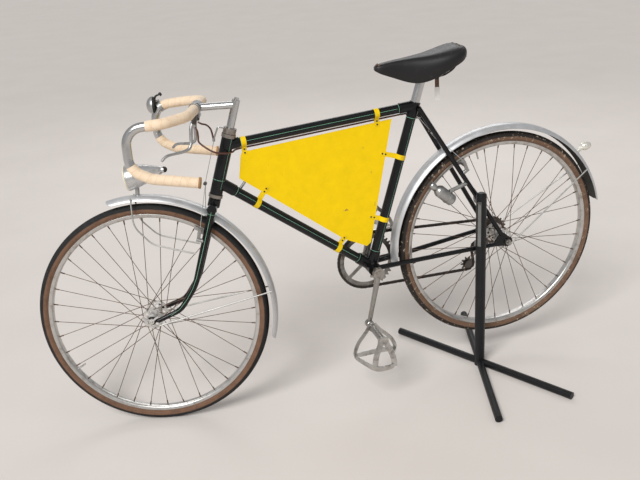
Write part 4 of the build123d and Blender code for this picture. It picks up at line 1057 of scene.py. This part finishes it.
def add_cable_loop():
    """The rear brake's housing where it passes from the bars to the frame, drawn as one fixed curve."""
    on_bars = [by_clamp(2.1, 35.5, -46.6), by_clamp(-2.9, 39, -56.6), by_clamp(-3.9, 40, -70.6),
               by_clamp(-5.9, 40, -88.6)]
    on_frame = [by_clamp(-27.9, 40, -108.6), (HEAD_SIDE.x + 2, 36, 786), under_top(HEAD_SIDE.x - 24, 8, 20.5)]
    bar_end, frame_end = steer(on_bars[1]), Vector(on_frame[1])
    route = smooth_path([steer(p) for p in on_bars] + on_frame, 3.0)
    loop = tube("brake_cable_loop", route, CABLE_R, housing)
    tuple(place(bar_end))
    tuple(place(frame_end))
    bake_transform(loop)


def add_rear_cable():
    route = smooth_path([under_top(HEAD_SIDE.x - 23, 8, 20.5), under_top(HEAD_SIDE.x - 42, -8, 19.8),
                         under_top(700, -8, CABLE_DROP), under_top(500, -8, CABLE_DROP),
                         under_top(TOP_SEAT.x + 62.7, -8, CABLE_DROP), by_seat(32.7, -18, -26),
                         by_seat(4.7, -22, -27), by_seat(-12.3, -11, -33), REAR_CABLE_END])
    hanger = [REAR_STOP + Vector((1, 0, 2)), on_seat(454) + Vector((-12, 0, 0))]
    parts = [
        tube("c", route, CABLE_R, housing),
        tube("c", [REAR_STOP, Vector(REAR_CABLE_END)], STOP_R, polished, sides=16),
        tube("c", hanger, HANGER_R, polished, sides=10),
        *yoke_and_straddle(REAR_STOP, REAR_YOKE, REAR_ARM, False),
    ]
    cable = join("brake_cable_rear", parts, "frame")
    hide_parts("cable_rear")


add_front_cable()
add_cable_loop()
add_rear_cable()

# Floor, light and camera

FLOOR_HALF, FLOOR_Z = 14.0, -0.0005
MIDDLE = (0.45, -0.08, 0.5)
AMBIENT, BACKDROP_SEEN = 0.42, 0.78
SUN_STRENGTH, SUN_SPREAD = 1.95, math.radians(24)
SUN_WAY = Vector((-0.5, -0.52, -0.72))
LENS_MM = 48.2
# the camera was fitted to the photograph: its right, its down, the way it looks, and its place in mm
VIEW_RIGHT = Vector((-0.95498, 0.29059, -0.05977))
VIEW_DOWN = Vector((0.16371, 0.34814, -0.92304))
VIEW_WAY = Vector((-0.24741, -0.89127, -0.38004))
VIEW_FROM = (1187.14, 2219.34, 1424.41)


def add_floor():
    n = Nodes("pale_floor")
    tone = n.noise(n.add("TexCoord", {})["Object"], 3.0, 2.0, 0.5)
    n.surface("Base Color", n.ramp(tone, [(0.0, (0.66, 0.61, 0.57)), (1.0, (0.72, 0.67, 0.63))]))
    n.surface("Roughness", 0.85)
    corners = [(x * FLOOR_HALF, y * FLOOR_HALF, FLOOR_Z) for x, y in ((-1, -1), (1, -1), (1, 1), (-1, 1))]
    mesh = bpy.data.meshes.new("floor")
    mesh.from_pydata(corners, [], [(0, 1, 2, 3)])
    mesh.materials.append(n.mat)
    add_object("floor", mesh)


def set_world():
    """A soft grey all round, paler where the camera sees it."""
    world = bpy.data.worlds.new("studio")
    bpy.context.scene.world = world
    world.use_nodes = True
    tree = world.node_tree
    backdrop = tree.nodes["Background"]
    backdrop.inputs["Color"].default_value = (0.95, 0.95, 0.96, 1)
    seen = tree.nodes.new("ShaderNodeLightPath")
    power = tree.nodes.new("ShaderNodeMapRange")
    power.inputs["To Min"].default_value = AMBIENT
    power.inputs["To Max"].default_value = BACKDROP_SEEN
    tree.links.new(seen.outputs["Is Camera Ray"], power.inputs["Value"])
    tree.links.new(power.outputs["Result"], backdrop.inputs["Strength"])


def add_area(name, at, wide, high, watts):
    light = bpy.data.lights.new(name, "AREA")
    light.shape = "RECTANGLE"
    light.size, light.size_y = wide, high
    light.energy = watts
    obj = add_object(name, light)
    obj.location = at
    obj.rotation_euler = (Vector(MIDDLE) - Vector(at)).to_track_quat("-Z", "Y").to_euler()


def add_sun():
    sun = bpy.data.lights.new("soft_sun", "SUN")
    sun.energy = SUN_STRENGTH
    sun.angle = SUN_SPREAD
    add_object("soft_sun", sun).rotation_euler = SUN_WAY.to_track_quat("-Z", "Y").to_euler()


def add_camera():
    data = bpy.data.cameras.new("camera")
    data.lens = LENS_MM
    data.sensor_width = 36.0
    data.sensor_fit = "HORIZONTAL"
    camera = add_object("camera", data)
    turn = Matrix((VIEW_RIGHT, -VIEW_DOWN, -VIEW_WAY)).transposed().normalized()
    camera.matrix_world = Matrix.Translation(place(VIEW_FROM)) @ turn.to_4x4()
    bpy.context.scene.camera = camera


add_floor()
set_world()
add_area("key", (2.4, 2.4, 2.6), 1.8, 1.2, 30)
add_area("rim_light", (-0.6, -2.8, 2.4), 2.6, 1.0, 22)
add_sun()
add_camera()
bpy.context.scene.view_settings.view_transform = "Standard"


bpy.context.view_layer.update()
